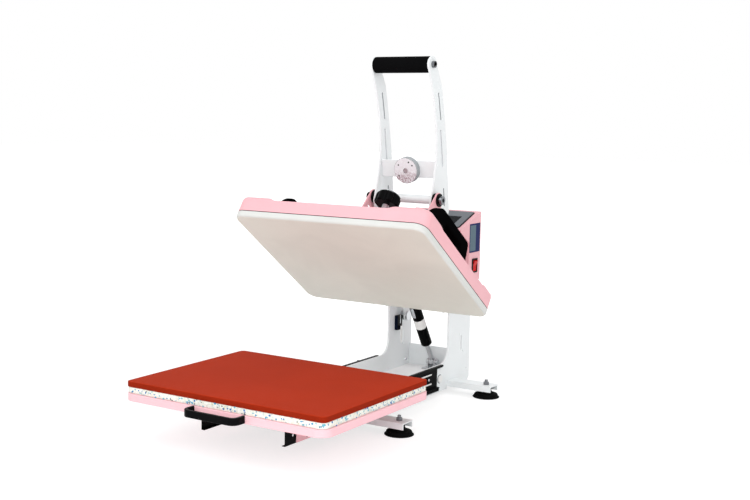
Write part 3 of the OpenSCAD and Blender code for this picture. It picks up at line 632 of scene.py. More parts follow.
class Workshop:
    """Meshes and placing that all sub-assemblies use."""

    @staticmethod
    def piece(name: str, mesh: bpy.types.Mesh, finish: Finish) -> Object:
        """Wrap a mesh, which is in place, as an object at the origin with one finish.

        Args:
            name: Name of the piece.
            mesh: Its mesh.
            finish: Its finish.

        Returns:
            The piece.
        """
        mesh.materials.clear()
        mesh.materials.append(finish.material())
        return put(name, mesh)

    @staticmethod
    def settle(part: Object, body: Body, slot: Slot, *nodes: str) -> None:
        """Ride a piece on a body and hide the nodes that it stands for.

        Args:
            part: The piece.
            body: The body.
            slot: The slot; not used.
            nodes: CAD nodes, if any.
        """
        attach(part, body.value)
        if nodes:
            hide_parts(*nodes)
        LOG.info("%s rides on %s", part.name, body.value)

    @staticmethod
    def plain(part: Object) -> None:
        """Turn a piece with modifiers into a plain mesh.

        Args:
            part: The piece.
        """
        evaluated = part.evaluated_get(bpy.context.evaluated_depsgraph_get())
        mesh = bpy.data.meshes.new_from_object(evaluated)
        part.modifiers.clear()
        part.data = mesh

    @classmethod
    def run_tree(cls, part: Object, tree: Tree, values: dict[str, object]) -> None:
        """Run a Geometry Nodes tree on a piece and keep the plain result.

        Args:
            part: The piece.
            tree: The tree.
            values: Its inputs by name.
        """
        modifier = part.modifiers.new(tree.name, "NODES")
        modifier.node_group = tree
        for item in tree.interface.items_tree:
            if item.in_out == "INPUT" and item.name in values:
                modifier[item.identifier] = values[item.name]
        cls.plain(part)

    @staticmethod
    def mesh_of(name: str, bm: Solid, smooth: float = 35.0) -> bpy.types.Mesh:
        """Finish a bmesh as a mesh with smooth shading up to an angle.

        Args:
            name: Name of the mesh.
            bm: The geometry; it is freed.
            smooth: Edges sharper than this many degrees stay sharp.

        Returns:
            The mesh.
        """
        for face in bm.faces:
            face.smooth = True
        mesh = bpy.data.meshes.new(name)
        bm.to_mesh(mesh)
        bm.free()
        mesh.set_sharp_from_angle(angle=math.radians(smooth))
        return mesh

    @staticmethod
    def skin(bm: Solid, rings: Sequence[Sequence[Vector]]) -> None:
        """Close rings of points, which all have the same count, into a solid with flat ends.

        Args:
            bm: Geometry that the solid is added to.
            rings: The rings, from end to end.
        """
        rows = [[bm.verts.new(point) for point in ring] for ring in rings]
        for below, above in zip(rows, rows[1:]):
            for k in range(len(below)):
                n = (k + 1) % len(below)
                bm.faces.new((below[k], below[n], above[n], above[k]))
        bm.faces.new(list(reversed(rows[0])))
        bm.faces.new(rows[-1])
        bmesh.ops.recalc_face_normals(bm, faces=bm.faces)

    @classmethod
    def plates(
        cls, name: str, spots: Sequence[Matrix], size: Triple, corner: float, finish: Finish,
        slot: Slot, body: Body = Body.BASE,
    ) -> None:
        """Make thin plates with rounded corners and a broken front edge, as one piece.

        Args:
            name: Name of the piece.
            spots: Place and turn of the middle of each plate's back; its front looks along Z.
            size: Width, depth and thickness in millimetres.
            corner: Corner radius in millimetres.
            finish: Its finish.
            slot: Its slot.
            body: Body that it rides on.
        """
        bm = bmesh.new()
        wide, deep, thick = (value * MM for value in size)
        radius = corner * MM
        edge_share, steps = 0.3, 5
        edge = edge_share * thick
        for spot in spots:
            rings = []
            for height, inset in ((0.0, 0.0), (thick - edge, 0.0), (thick, edge)):
                ring = []
                for sx, sy, start in CORNERS:
                    for i in range(steps + 1):
                        angle = math.radians(start + 90 * i / steps)
                        x = sx * (wide / 2 - radius) + (radius - inset) * math.cos(angle)
                        y = sy * (deep / 2 - radius) + (radius - inset) * math.sin(angle)
                        ring.append(spot @ Vector((x, y, height)))
                rings.append(ring)
            cls.skin(bm, rings)
        cls.settle(cls.piece(name, cls.mesh_of(name, bm), finish), body, slot)

    @staticmethod
    def on_sides(x: float, y: float, z: float) -> list[Matrix]:
        """Places on the left and right, in metres, turned to look outward."""
        return [
            Matrix.Translation((side * x, y, z)) @ Matrix.Rotation(side * math.pi / 2, 4, "Y")
            for side in SIDES
        ]

    @staticmethod
    def outward(x: float, *places: Pair) -> Spots:
        """Spots on both sides, in metres; they look inward where x is negative."""
        return [
            (Vector((side * x, y, z)), Vector((side, 0, 0))) for side in SIDES for y, z in places
        ]

    @staticmethod
    def recoat(part: Object, finish: Finish, chosen: Callable[[Face], bool]) -> None:
        """Give the faces of a piece that are chosen another finish.

        Args:
            part: The piece.
            finish: The other finish.
            chosen: Tells whether a face takes it.
        """
        part.data.materials.append(finish.material())
        number = len(part.data.materials) - 1
        for face in part.data.polygons:
            if chosen(face):
                face.material_index = number

    @staticmethod
    def swell(part: Object, more: float) -> None:
        """Widen a piece along X and Y, so that each side moves out by some millimetres.

        Args:
            part: The piece.
            more: How far each side moves.
        """
        points = [vertex.co for vertex in part.data.vertices]
        for axis in (0, 1):
            low, high = min(p[axis] for p in points), max(p[axis] for p in points)
            middle = (low + high) / 2
            factor = 1 + 2 * more * MM / (high - low)
            for point in points:
                point[axis] = middle + (point[axis] - middle) * factor

    @classmethod
    def eased(cls, node: str, finish: Finish, width: float, segments: int = 2) -> Object:
        """Copy a CAD node with its sharp edges rounded.

        Args:
            node: The CAD node.
            finish: Finish of the copy.
            width: Width of the rounding in millimetres.
            segments: Steps across the rounding.

        Returns:
            The copy, which stands for the node.
        """
        weld, flat, sharp = 0.002 * MM, math.radians(0.5), 40.0
        bm = bmesh.new()
        bm.from_mesh(frame["nodes"][node].data)
        bmesh.ops.remove_doubles(bm, verts=bm.verts, dist=weld)
        bmesh.ops.dissolve_limit(bm, angle_limit=flat, verts=bm.verts, edges=bm.edges)
        part = cls.piece(f"{node}_eased", cls.mesh_of(node, bm, sharp), finish)
        bevel = part.modifiers.new("easing", "BEVEL")
        bevel.width = width * MM
        bevel.segments = segments
        bevel.limit_method = "ANGLE"
        bevel.angle_limit = math.radians(sharp)
        bevel.use_clamp_overlap = True
        part.modifiers.new("weigh", "WEIGHTED_NORMAL").keep_sharp = True
        cls.plain(part)
        record = frame["record"]
        slot = next(row["material_slot"] for row in record["subparts"] if row["node"] == node)
        bodies = record["behaviour"]["bodies"]
        body = next(name for name, nodes in bodies.items() if node in nodes)
        cls.settle(part, Body(body), Slot(slot), node)
        return part

    @classmethod
    def ease_all(cls, *rows: tuple[str, Finish, float] | tuple[str, Finish, float, int]) -> None:
        """Ease nodes that need nothing else; each row has what one of them takes."""
        for row in rows:
            cls.eased(*row)


class Trees:
    """Geometry Nodes trees for what repeats.

    Attributes:
        SIDES: Sides of a screw head and of its recess.
        SHARE: Radius of a head's top and of its recess, as shares of the head's radius.
        LIFT: Height of the recess's middle, as a share of the head's height.
    """

    SIDES = (24, 6)
    SHARE = (0.72, 0.42)
    LIFT = 0.95

    @staticmethod
    def start(name: str, **inputs: str) -> tuple[Graph, Outputs]:
        """Start a tree that takes and gives geometry.

        Args:
            name: Name of the tree.
            inputs: Kind of each further input by name.

        Returns:
            The graph and the outputs of its input node.
        """
        tree = bpy.data.node_groups.new(name, "GeometryNodeTree")
        for label, kind in {"Geometry": "Geometry", **inputs}.items():
            tree.interface.new_socket(label, in_out="INPUT", socket_type=f"NodeSocket{kind}")
        tree.interface.new_socket("Geometry", in_out="OUTPUT", socket_type="NodeSocketGeometry")
        graph = Graph(tree)
        return graph, graph.add("NodeGroupInput").outputs

    @staticmethod
    def end(graph: Graph, instances: Socket, finish: Socket) -> Tree:
        """Make the instances real, give them their finish and close the tree.

        Args:
            graph: The tree's graph.
            instances: The instances.
            finish: Their material.

        Returns:
            The tree.
        """
        real = graph.add("GeometryNodeRealizeInstances", {"Geometry": instances})
        paint = graph.add(
            "GeometryNodeSetMaterial",
            {"Geometry": real.outputs["Geometry"], "Material": finish},
        )
        graph.add("NodeGroupOutput", {"Geometry": paint.outputs["Geometry"]})
        return graph.tree

    @classmethod
    @cache
    def repeat(cls, shape: Repeat) -> Tree:
        """Tree that sets one shape on points that hold a facing.

        Args:
            shape: What repeats.

        Returns:
            The tree.
        """
        graph, given = cls.start(
            f"repeat_{shape.value}", Radius="Float", Height="Float", Finish="Material"
        )
        build = cls.screw if shape is Repeat.SCREW else cls.ball
        facing = graph.add(
            "GeometryNodeInputNamedAttribute", {"Name": "facing"}, data_type="FLOAT_VECTOR"
        )
        align = graph.add(
            "FunctionNodeAlignRotationToVector", {"Vector": facing.outputs["Attribute"]}, axis="Z"
        )
        spread = graph.add("GeometryNodeInstanceOnPoints", {
            "Points": given["Geometry"], "Instance": build(graph, given),
            "Rotation": align.outputs["Rotation"],
        })
        return cls.end(graph, spread.outputs["Instances"], given["Finish"])

    @classmethod
    def screw(cls, graph: Graph, given: Outputs) -> Socket:
        """Screw head: a low cone with a six-sided recess.

        Args:
            graph: The tree's graph.
            given: Outputs of the tree's input node.

        Returns:
            The head.
        """
        radius, height = given["Radius"], given["Height"]
        top, hole = (graph.math("MULTIPLY", radius, share) for share in cls.SHARE)
        head = graph.add("GeometryNodeMeshCone", {
            "Vertices": cls.SIDES[0], "Radius Bottom": radius, "Radius Top": top, "Depth": height,
        })
        pit = graph.add(
            "GeometryNodeMeshCylinder", {"Vertices": cls.SIDES[1], "Radius": hole, "Depth": height}
        )
        shift = graph.add("ShaderNodeCombineXYZ", {"Z": graph.math("MULTIPLY", height, cls.LIFT)})
        lift = graph.add("GeometryNodeTransform", {
            "Geometry": pit.outputs["Mesh"], "Translation": shift.outputs["Vector"],
        })
        cut = graph.add(
            "GeometryNodeMeshBoolean",
            {"Mesh 1": head.outputs["Mesh"], "Mesh 2": lift.outputs["Geometry"]},
            operation="DIFFERENCE", solver="EXACT",
        )
        return cut.outputs["Mesh"]

    @staticmethod
    def ball(graph: Graph, given: Outputs) -> Socket:
        """Bearing ball.

        Args:
            graph: The tree's graph.
            given: Outputs of the tree's input node.

        Returns:
            The ball.
        """
        ball = graph.add(
            "GeometryNodeMeshIcoSphere", {"Subdivisions": 3, "Radius": given["Radius"]}
        )
        smooth = graph.add("GeometryNodeSetShadeSmooth", {"Geometry": ball.outputs["Mesh"]})
        return smooth.outputs["Geometry"]

    @classmethod
    @cache
    def chips(cls, upright: float, least: Triple, most: Triple) -> Tree:
        """Tree that scatters flat chips over the upright faces of a piece.

        Args:
            upright: Faces whose normal has less height than this count as upright.
            least: Smallest scale of a chip along and across the face and out of it.
            most: Largest scale.

        Returns:
            The tree.
        """
        graph, given = cls.start(
            "foam_chips", Density="Float", Radius="Float", Seed="Int", Finish="Material"
        )
        seed = given["Seed"]
        normal = graph.add("GeometryNodeInputNormal").outputs["Normal"]
        level = graph.math("ABSOLUTE", graph.split(normal)["Z"], 0.0)
        scatter = graph.add("GeometryNodeDistributePointsOnFaces", {
            "Mesh": given["Geometry"], "Selection": graph.math("LESS_THAN", level, upright),
            "Density": given["Density"], "Seed": seed,
        }, distribute_method="RANDOM")
        chip = graph.add(
            "GeometryNodeMeshIcoSphere", {"Subdivisions": 1, "Radius": given["Radius"]}
        )
        size = graph.add(
            "FunctionNodeRandomValue", {"Min": least, "Max": most, "Seed": seed},
            data_type="FLOAT_VECTOR",
        )
        spread = graph.add("GeometryNodeInstanceOnPoints", {
            "Points": scatter.outputs["Points"], "Instance": chip.outputs["Mesh"],
            "Rotation": scatter.outputs["Rotation"], "Scale": size.outputs["Value"],
        })
        tint = graph.add("FunctionNodeRandomValue", {"Seed": seed}, data_type="FLOAT")
        store = graph.add("GeometryNodeStoreNamedAttribute", {
            "Geometry": spread.outputs["Instances"], "Name": "tint",
            "Value": next(socket for socket in tint.outputs if socket.enabled),
        }, data_type="FLOAT", domain="INSTANCE")
        return cls.end(graph, store.outputs["Geometry"], given["Finish"])

    @classmethod
    def grow(
        cls, name: str, shape: Repeat, spots: Spots, form: Pair, finish: Finish, slot: Slot,
        body: Body = Body.BASE,
    ) -> None:
        """Set a shape on each spot as one plain mesh.

        Args:
            name: Name of the piece.
            shape: What repeats.
            spots: Place in metres and facing of each copy.
            form: Radius and height of the shape in millimetres.
            finish: Its finish.
            slot: Its slot.
            body: Body that it rides on.
        """
        radius, height = form
        mesh = bpy.data.meshes.new(name)
        mesh.from_pydata([spot for spot, _ in spots], [], [])
        facing = mesh.attributes.new("facing", "FLOAT_VECTOR", "POINT")
        for k, (_, way) in enumerate(spots):
            facing.data[k].vector = way
        part = Workshop.piece(name, mesh, finish)
        values = {"Radius": radius * MM, "Height": height * MM, "Finish": finish.material()}
        Workshop.run_tree(part, cls.repeat(shape), values)
        Workshop.settle(part, body, slot)


@dataclass
class Table:
    """Sliding table: soft mat and foam over the tray with its handle. Sizes in millimetres.

    Attributes:
        corner: Corner radius of the mat and of the foam.
        uneven: How uneven the skins of the mat and of the foam are.
        mat_tuck: Inset of the mat's lower edge, inset above it, and the height of that.
        mat_roll: Radius of the mat's rolled upper edge.
        mat_crown: Height of the mat's crown.
        crown_at: Insets at which the crown is mostly and fully reached.
        crown_left: Share of the crown that is left to rise at the first of them.
        upright: Faces whose normal has less height than this count as upright.
        foam_bulge: How far the foam's side bulges out.
        foam_roll: Inset of the foam's edges.
        foam_tuck: Inset next to the edges, and its distance from the lower and the upper one.
        side_step: Distance between points along the straight sides.
        fleck_density: Chips per square metre.
        fleck_radius: Radius of a chip.
        fleck_seed: Seed of the scatter.
        fleck_least: Smallest scale of a chip.
        fleck_most: Largest scale of a chip.
        tray_more: How much wider the tray is drawn on each side.
        bracket_sheet: Sheet of the hanging brackets.
        screw_y: Places of the bracket screws along Y.
        screw_z: Their height.
        screw: Their radius and height.
    """

    corner: Pair = (12.0, 16.0)
    uneven: Pair = (0.2, 0.8)
    mat_tuck: Triple = (0.8, 0.1, 0.8)
    mat_roll: float = 2.2
    mat_crown: float = 0.5
    crown_at: Pair = (14.0, 60.0)
    crown_left: float = 0.3
    upright: float = 0.6
    foam_bulge: float = 0.9
    foam_roll: float = 2.0
    foam_tuck: Triple = (0.5, 1.0, 0.8)
    side_step: float = 7.0
    fleck_density: float = 18000.0
    fleck_radius: float = 2.7
    fleck_seed: int = 11
    fleck_least: Triple = (0.35, 0.35, 0.12)
    fleck_most: Triple = (1.2, 1.0, 0.16)
    tray_more: float = 4.5
    bracket_sheet: float = 2.5
    screw_y: Pair = (-306.0, -298.0)
    screw_z: float = 38.0
    screw: Pair = (2.2, 1.2)

    def loop(self, lo: Vector, hi: Vector, corner: float, inset: float) -> list[Vector]:
        """Points of a rounded rectangle, drawn in by an inset, all loops with the same count.

        Args:
            lo: Lowest corner.
            hi: Highest corner.
            corner: Corner radius in metres.
            inset: How far the loop is drawn in, in metres.

        Returns:
            Points at height zero, counter-clockwise.
        """
        steps = 8
        least = 0.3 * MM
        radius = max(corner - inset, least)
        half = Vector(((hi.x - lo.x) / 2 - inset - radius, (hi.y - lo.y) / 2 - inset - radius))
        middle = (lo + hi) / 2

        def on_corner(number: int, share: float) -> Vector:
            """Point on a corner's arc.

            Args:
                number: Number of the corner.
                share: Share of the arc.

            Returns:
                The point.
            """
            sx, sy, start = CORNERS[number % 4]
            angle = math.radians(start + 90 * share)
            return Vector((
                middle.x + sx * half.x + radius * math.cos(angle),
                middle.y + sy * half.y + radius * math.sin(angle), 0,
            ))

        points = []
        for k in range(4):
            points += [on_corner(k, i / steps) for i in range(steps + 1)]
            length = (hi.y - lo.y) if k % 2 == 0 else (hi.x - lo.x)
            count = int(length / (self.side_step * MM))
            last, goal = points[-1].copy(), on_corner(k + 1, 0.0)
            points += [last.lerp(goal, (i + 1) / (count + 1)) for i in range(count)]
        return points

    def slab(
        self, node: str, corner: float, rings: Sequence[Pair], uneven: float
    ) -> bpy.types.Mesh:
        """Loft a soft slab through insets and heights, with a slightly uneven skin.

        Args:
            node: CAD node whose box the slab fills.
            corner: Corner radius in millimetres.
            rings: Inset and height of each ring in millimetres from the bottom up.
            uneven: How uneven the skin is, in millimetres.

        Returns:
            The closed mesh.
        """
        lo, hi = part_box(node)
        middle_x, middle_y = (lo.x + hi.x) / 2, (lo.y + hi.y) / 2
        wave_scale, smooth = 90.0, 50.0
        rows = []
        for inset, height in rings:
            row = []
            for point in self.loop(lo, hi, corner * MM, inset * MM):
                place = Vector((point.x, point.y, lo.z + height * MM))
                wave = noise.noise(place * wave_scale) * uneven * MM
                inward = Vector((middle_x - place.x, middle_y - place.y, 0)).normalized()
                row.append(place + inward * abs(wave))
            rows.append(row)
        bm = bmesh.new()
        Workshop.skin(bm, rows)
        return Workshop.mesh_of(node, bm, smooth)

    def mat(self) -> None:
        """Red silicone mat with rolled edges and a slight crown."""
        lo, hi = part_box("silicone_mat")
        top = (hi.z - lo.z) / MM
        roll, steps = self.mat_roll, 4
        rings = [(self.mat_tuck[0], 0.0), self.mat_tuck[1:], (0.0, 0.5 * top)]
        for i in range(steps + 1):
            angle = math.radians(90 * i / steps)
            inset, drop = roll * (1 - math.cos(angle)), roll * (1 - math.sin(angle))
            rings.append((inset, top - self.mat_crown - drop))
        near, far = self.crown_at
        rings += [(near, top - self.crown_left * self.mat_crown), (far, top)]
        mesh = self.slab("silicone_mat", self.corner[0], rings, self.uneven[0])
        part = Workshop.piece("mat_skin", mesh, SILICONE)
        # The upright sides take the darker red, painted shade.
        Workshop.recoat(part, SILICONE_PAINTED_SHADE, lambda face: abs(face.normal.z) < self.upright)
        Workshop.settle(part, Body.TABLE, Slot.SILICONE, "silicone_mat")

    def foam(self) -> None:
        """Chip foam pad with soft sides, and coloured chips in them."""
        lo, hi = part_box("foam_pad")
        top = (hi.z - lo.z) / MM
        steps = 8
        tuck, below, above = self.foam_tuck
        rings = [(self.foam_roll, 0.0), (tuck, below)]
        for i in range(1, steps):
            bulge = self.foam_bulge * (1 - math.sin(math.pi * i / steps))
            rings.append((bulge, top * i / steps))
        rings += [(tuck, top - above), (self.foam_roll, top)]
        mesh = self.slab("foam_pad", self.corner[1], rings, self.uneven[1])
        part = Workshop.piece("foam_crumb", mesh, FOAM)
        Workshop.settle(part, Body.TABLE, Slot.FOAM, "foam_pad")
        chips = Workshop.piece("foam_chips", mesh.copy(), FLECK)
        Workshop.run_tree(
            chips, Trees.chips(self.upright, self.fleck_least, self.fleck_most), {
                "Density": self.fleck_density, "Radius": self.fleck_radius * MM,
                "Seed": self.fleck_seed, "Finish": FLECK.material(),
            },
        )
        Workshop.settle(chips, Body.TABLE, Slot.FOAM)

    def bracket_screws(self) -> None:
        """Two small dark screws on each hanging bracket."""
        _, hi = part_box("slide_runners")
        places = ((y * MM, self.screw_z * MM) for y in self.screw_y)
        spots = Workshop.outward(hi.x + self.bracket_sheet * MM, *places)
        Trees.grow(
            "bracket_screws", Repeat.SCREW, spots, self.screw, BLACK_METAL, Slot.BLACK_METAL,
            Body.TABLE,
        )

    def build(self) -> None:
        """Build the soft pieces and ease the metal ones."""
        self.mat()
        self.foam()
        # The tray and its brackets take the paler pink, painted light.
        Workshop.swell(Workshop.eased("tray", PINK_PAINTED_LIGHT, 1.6, 3), self.tray_more)
        Workshop.ease_all(("tray_handle", BLACK, 1.4, 3), ("tray_brackets", PINK_PAINTED_LIGHT, 0.5))
        self.bracket_screws()


@dataclass
class Slides:
    """Telescopic slides: balls in their cages, and stops, screws, edging and painted shadow on the
    fixed rails.

    All sizes are in millimetres.

    Attributes:
        ball_pitch: Distance between balls.
        outer_ball: X, height from the middle and radius of the outer balls.
        inner_ball: The same of the inner balls.
        web: X of the fixed rails' webs.
        strip_y: Ends of the stop strips.
        strip_z: Height of the stop strips from the middle.
        strip: Width, thickness and corner radius of a stop strip.
        screw_y: Places of the rail screws.
        screw: Radius and height of a rail screw.
        foot_shadow_y: Ends of the black strips under the rails, which stand for the rails' lower
            part and for painted shadow beneath it.
        foot_shadow_z: Their height.
        foot_shadow: Their width, thickness and corner radius.
        cap_y: Ends of the edging on top of the rails.
        cap_x: Its X.
        cap_sink: How deep it sits in the rail.
        cap: Its width, thickness and corner radius.
    """

    ball_pitch: float = 13.0
    outer_ball: Triple = (94.0, 20.8, 2.7)
    inner_ball: Triple = (102.6, 14.85, 1.7)
    web: float = 89.4
    strip_y: Pair = (205.0, 255.5)
    strip_z: float = 11.5
    strip: Triple = (3.4, 0.9, 1.2)
    screw_y: Triple = (10.0, 128.0, 243.0)
    screw: Pair = (3.4, 1.2)
    foot_shadow_y: Pair = (-40.0, 284.0)
    foot_shadow_z: float = 20.4
    foot_shadow: Triple = (8.6, 8.4, 0.8)
    cap_y: Pair = (-40.0, 305.0)
    cap_x: float = 92.6
    cap_sink: float = 0.1
    cap: Triple = (9.0, 3.6, 4.2)

    def balls(self) -> None:
        """Rows of balls along the outer and inner cages of each side."""
        lo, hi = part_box("ball_strips")
        middle = (lo.z + hi.z) / 2
        length = (hi.y - lo.y) / 2
        count = int(length / (self.ball_pitch * MM))
        for name, (x, z, radius), start in (
            ("outer_balls", self.outer_ball, hi.y - length),
            ("inner_balls", self.inner_ball, lo.y),
        ):
            places = (
                (start + (k + 0.5) * length / count, middle + sign * z * MM)
                for sign in SIDES for k in range(count)
            )
            spots = Workshop.outward(x * MM, *places)
            form = (radius, 0.0)
            Trees.grow(name, Repeat.BALL, spots, form, CHROME, Slot.CHROME, Body.SLIDE)

    @staticmethod
    def edging(
        name: str, spots: Sequence[Matrix], ends: Pair, form: Triple, finish: Finish, slot: Slot
    ) -> None:
        """Add long strips between two ends, with a width, a thickness and a corner radius."""
        wide, thick, corner = form
        Workshop.plates(name, spots, (wide, ends[1] - ends[0], thick), corner, finish, slot)

    def build(self) -> None:
        """Build the small pieces and ease the members."""
        self.balls()
        lo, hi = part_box("slide_rails")
        _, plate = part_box("side_plate_right")
        middle = (lo.z + hi.z) / 2
        y_strip, y_cap, y_foot_shadow = (
            sum(ends) / 2 * MM for ends in (self.strip_y, self.cap_y, self.foot_shadow_y)
        )
        web = self.web * MM
        strips = [
            spot for sign in SIDES
            for spot in Workshop.on_sides(web, y_strip, middle + sign * self.strip_z * MM)
        ]
        self.edging(
            "stop_strips", strips, self.strip_y, self.strip, WHITE_PLASTIC, Slot.WHITE_PLASTIC
        )
        spots = Workshop.outward(web, *((y * MM, middle) for y in self.screw_y))
        Trees.grow("rail_screws", Repeat.SCREW, spots, self.screw, STEEL, Slot.STEEL)
        top = hi.z - self.cap_sink * MM
        caps = [Matrix.Translation((side * self.cap_x * MM, y_cap, top)) for side in SIDES]
        self.edging("rail_caps", caps, self.cap_y, self.cap, BLACK_METAL, Slot.BLACK_METAL)
        # Black strips under the rails: partly the rails' lower part, partly painted shadow beneath
        # them.
        foot_shadows = Workshop.on_sides(plate.x, y_foot_shadow, self.foot_shadow_z * MM)
        self.edging(
            "rail_skirts", foot_shadows, self.foot_shadow_y, self.foot_shadow, BLACK_METAL, Slot.BLACK_METAL
        )
        members = ("slide_rails", "slide_mid", "slide_runners")
        Workshop.ease_all(*((node, BLACK_METAL, 0.4) for node in members))


@dataclass
class Base:
    """Side plates, floor, beams, feet and the limit switch.

    All sizes are in millimetres.

    Attributes:
        wall_split: Height above which the rear wall's points are its upper edge.
        wall_drop: How much lower the upper edge is drawn.
        wall_plug: X and Z of the plug in the rear wall.
        plug: Its radius and height.
        plate_screw: Y and Z of the screws inside the side plates.
        screw: Their radius and height.
        bumper: Y and Z of the round stops.
        strip: Y and Z of the metal strip on the limit switch.
        strip_in: X of the strip from the switch's inner end.
        strip_size: Width, depth and thickness of the strip.
        strip_corner: Corner radius of the strip.
        front: Faces of the switch whose normal has a lower Y than this are its front.
    """

    wall_split: float = 90.0
    wall_drop: float = 24.0
    wall_plug: Pair = (-61.0, 69.0)
    plug: Pair = (4.0, 0.8)
    plate_screw: Pair = (430.0, 48.8)
    screw: Pair = (4.0, 2.4)
    bumper: Pair = (299.6, 42.2)
    strip: Pair = (383.0, 162.0)
    strip_in: float = 9.0
    strip_size: Triple = (22.0, 3.0, 0.8)
    strip_corner: float = 0.6
    front: float = -0.7

    def screws(self) -> None:
        """Painted plug in the rear wall and bright screws inside the side plates."""
        wall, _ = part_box("rear_wall")
        x, z = self.wall_plug
        spots = [(Vector((x * MM, wall.y, z * MM)), Vector((0, -1, 0)))]
        Trees.grow("wall_plug", Repeat.SCREW, spots, self.plug, WHITE, Slot.WHITE)
        floor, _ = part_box("base_floor")
        y, z = self.plate_screw
        spots = Workshop.outward(floor.x, (y * MM, z * MM))
        Trees.grow("plate_screws", Repeat.SCREW, spots, self.screw, CHROME, Slot.STEEL)

    def bumpers(self) -> None:
        """Round white stops behind the rails, each on a grey ring painted as its shadow."""
        _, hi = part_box("side_plate_right")
        y, z = self.bumper
        spots = Workshop.on_sides(hi.x, y * MM, z * MM)
        straight = 0.1
        # The grey ring around each stop is painted shadow.
        for name, across, thick, finish, slot in (
            ("bumper_seats", 22.0, 0.8, GREY, Slot.GREY),
            ("bumpers", 19.0, 3.6, WHITE_PLASTIC, Slot.WHITE_PLASTIC),
        ):
            size = (across, across, thick)
            Workshop.plates(name, spots, size, across / 2 - straight, finish, slot)

    def switch(self) -> None:
        """Limit switch with a blue front, its lever and its metal strip."""
        part = Workshop.eased("limit_switch", BLACK, 0.6)
        Workshop.recoat(part, BLUE, lambda face: face.normal.y < self.front)
        Workshop.eased("limit_lever", WHITE_PLASTIC, 0.4)
        lo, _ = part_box("limit_switch")
        y, z = self.strip
        _, spot = Workshop.on_sides(lo.x + self.strip_in * MM, y * MM, z * MM)
        corner = self.strip_corner
        Workshop.plates("switch_strip", [spot], self.strip_size, corner, STEEL, Slot.STEEL)

    def build(self) -> None:
        """Ease the sheet metal and set the small pieces."""
        Workshop.ease_all(
            ("side_plate_right", WHITE, 0.9), ("side_plate_left", WHITE, 0.9),
            # The base floor takes the brighter white, painted light.
            ("base_floor", WHITE_PAINTED_LIGHT, 0.6), ("foot_beams", WHITE, 0.6),
            ("gas_anchor", STEEL, 0.6), ("suction_feet", RUBBER, 0.8),
            # The studs and bolts take chrome painted dark as a reflection.
            ("foot_studs", CHROME_PAINTED_DARK, 0.9, 3), ("hinge_bolts", CHROME_PAINTED_DARK, 0.8),
        )
        for vertex in Workshop.eased("rear_wall", WHITE, 0.6).data.vertices:
            if vertex.co.z > self.wall_split * MM:
                vertex.co.z -= self.wall_drop * MM
        self.switch()
        self.screws()
        self.bumpers()


@dataclass
class ControlBox:
    """Housing with its display, switch, bare label plate and rear screws.

    Sizes are in millimetres and angles in degrees.

    Attributes:
        label_y: Lowest and highest Y of the label plate.
        label_z: Lowest and highest Z of the label plate.
        label: Thickness and corner radius of the label plate.
        slope: Slope of the display panel.
        bezel: Width, depth and thickness of the display bezel.
        bezel_corner: Its corner radius.
        outline: Width and thickness of the dark line around it.
        screw_inset: Distance of the cover screws from the cover's edges.
        screw: Their radius and height.
    """

    label_y: Pair = (427.5, 484.5)
    label_z: Pair = (342.0, 415.0)
    label: Pair = (0.6, 1.2)
    slope: float = 20.0
    bezel: Triple = (162.0, 92.0, 3.0)
    bezel_corner: float = 5.0
    outline: Pair = (3.0, 0.8)
    screw_inset: float = 9.0
    screw: Pair = (3.6, 2.0)

    def bare_label(self) -> None:
        """Bare two-tone plate on the right wall."""
        _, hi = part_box("control_box")
        y, z = (sum(ends) / 2 * MM for ends in (self.label_y, self.label_z))
        thick, corner = self.label
        size = (self.label_z[1] - self.label_z[0], self.label_y[1] - self.label_y[0], thick)
        _, spot = Workshop.on_sides(hi.x, y, z)
        Workshop.plates("bare_label", [spot], size, corner, LABEL, Slot.GREY)

    def rim(self) -> None:
        """Dark line around the display bezel."""
        lo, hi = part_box("display_bezel")
        wide, deep, thick = self.bezel
        more, line = self.outline
        turn = Matrix.Rotation(math.radians(self.slope), 4, "X")
        sink = Matrix.Translation((0, 0, -thick / 2 * MM))
        spot = Matrix.Translation((lo + hi) / 2) @ turn @ sink
        size = (wide + 2 * more, deep + 2 * more, line)
        corner = self.bezel_corner + more
        Workshop.plates("bezel_rim", [spot], size, corner, BLACK, Slot.BLACK)

    def screws(self) -> None:
        """Four screws that hold the rear cover."""
        lo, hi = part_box("box_back")
        inset = self.screw_inset * MM
        spots = [
            (Vector((x, hi.y, z)), Vector((0, 1, 0)))
            for x in (lo.x + inset, hi.x - inset) for z in (lo.z + inset, hi.z - inset)
        ]
        Trees.grow("cover_screws", Repeat.SCREW, spots, self.screw, STEEL, Slot.STEEL)

    def build(self) -> None:
        """Ease the housing and add the small pieces."""
        Workshop.ease_all(
            ("control_box", PINK, 1.6, 3), ("box_back", PINK, 0.6),
            ("display_bezel", GREY, 0.8), ("display_screen", GLASS, 0.3),
            ("power_inlet", BLACK, 0.6), ("rocker_frame", BLACK, 0.5), ("rocker", RED, 0.9),
        )
        self.bare_label()
        self.rim()
        self.screws()


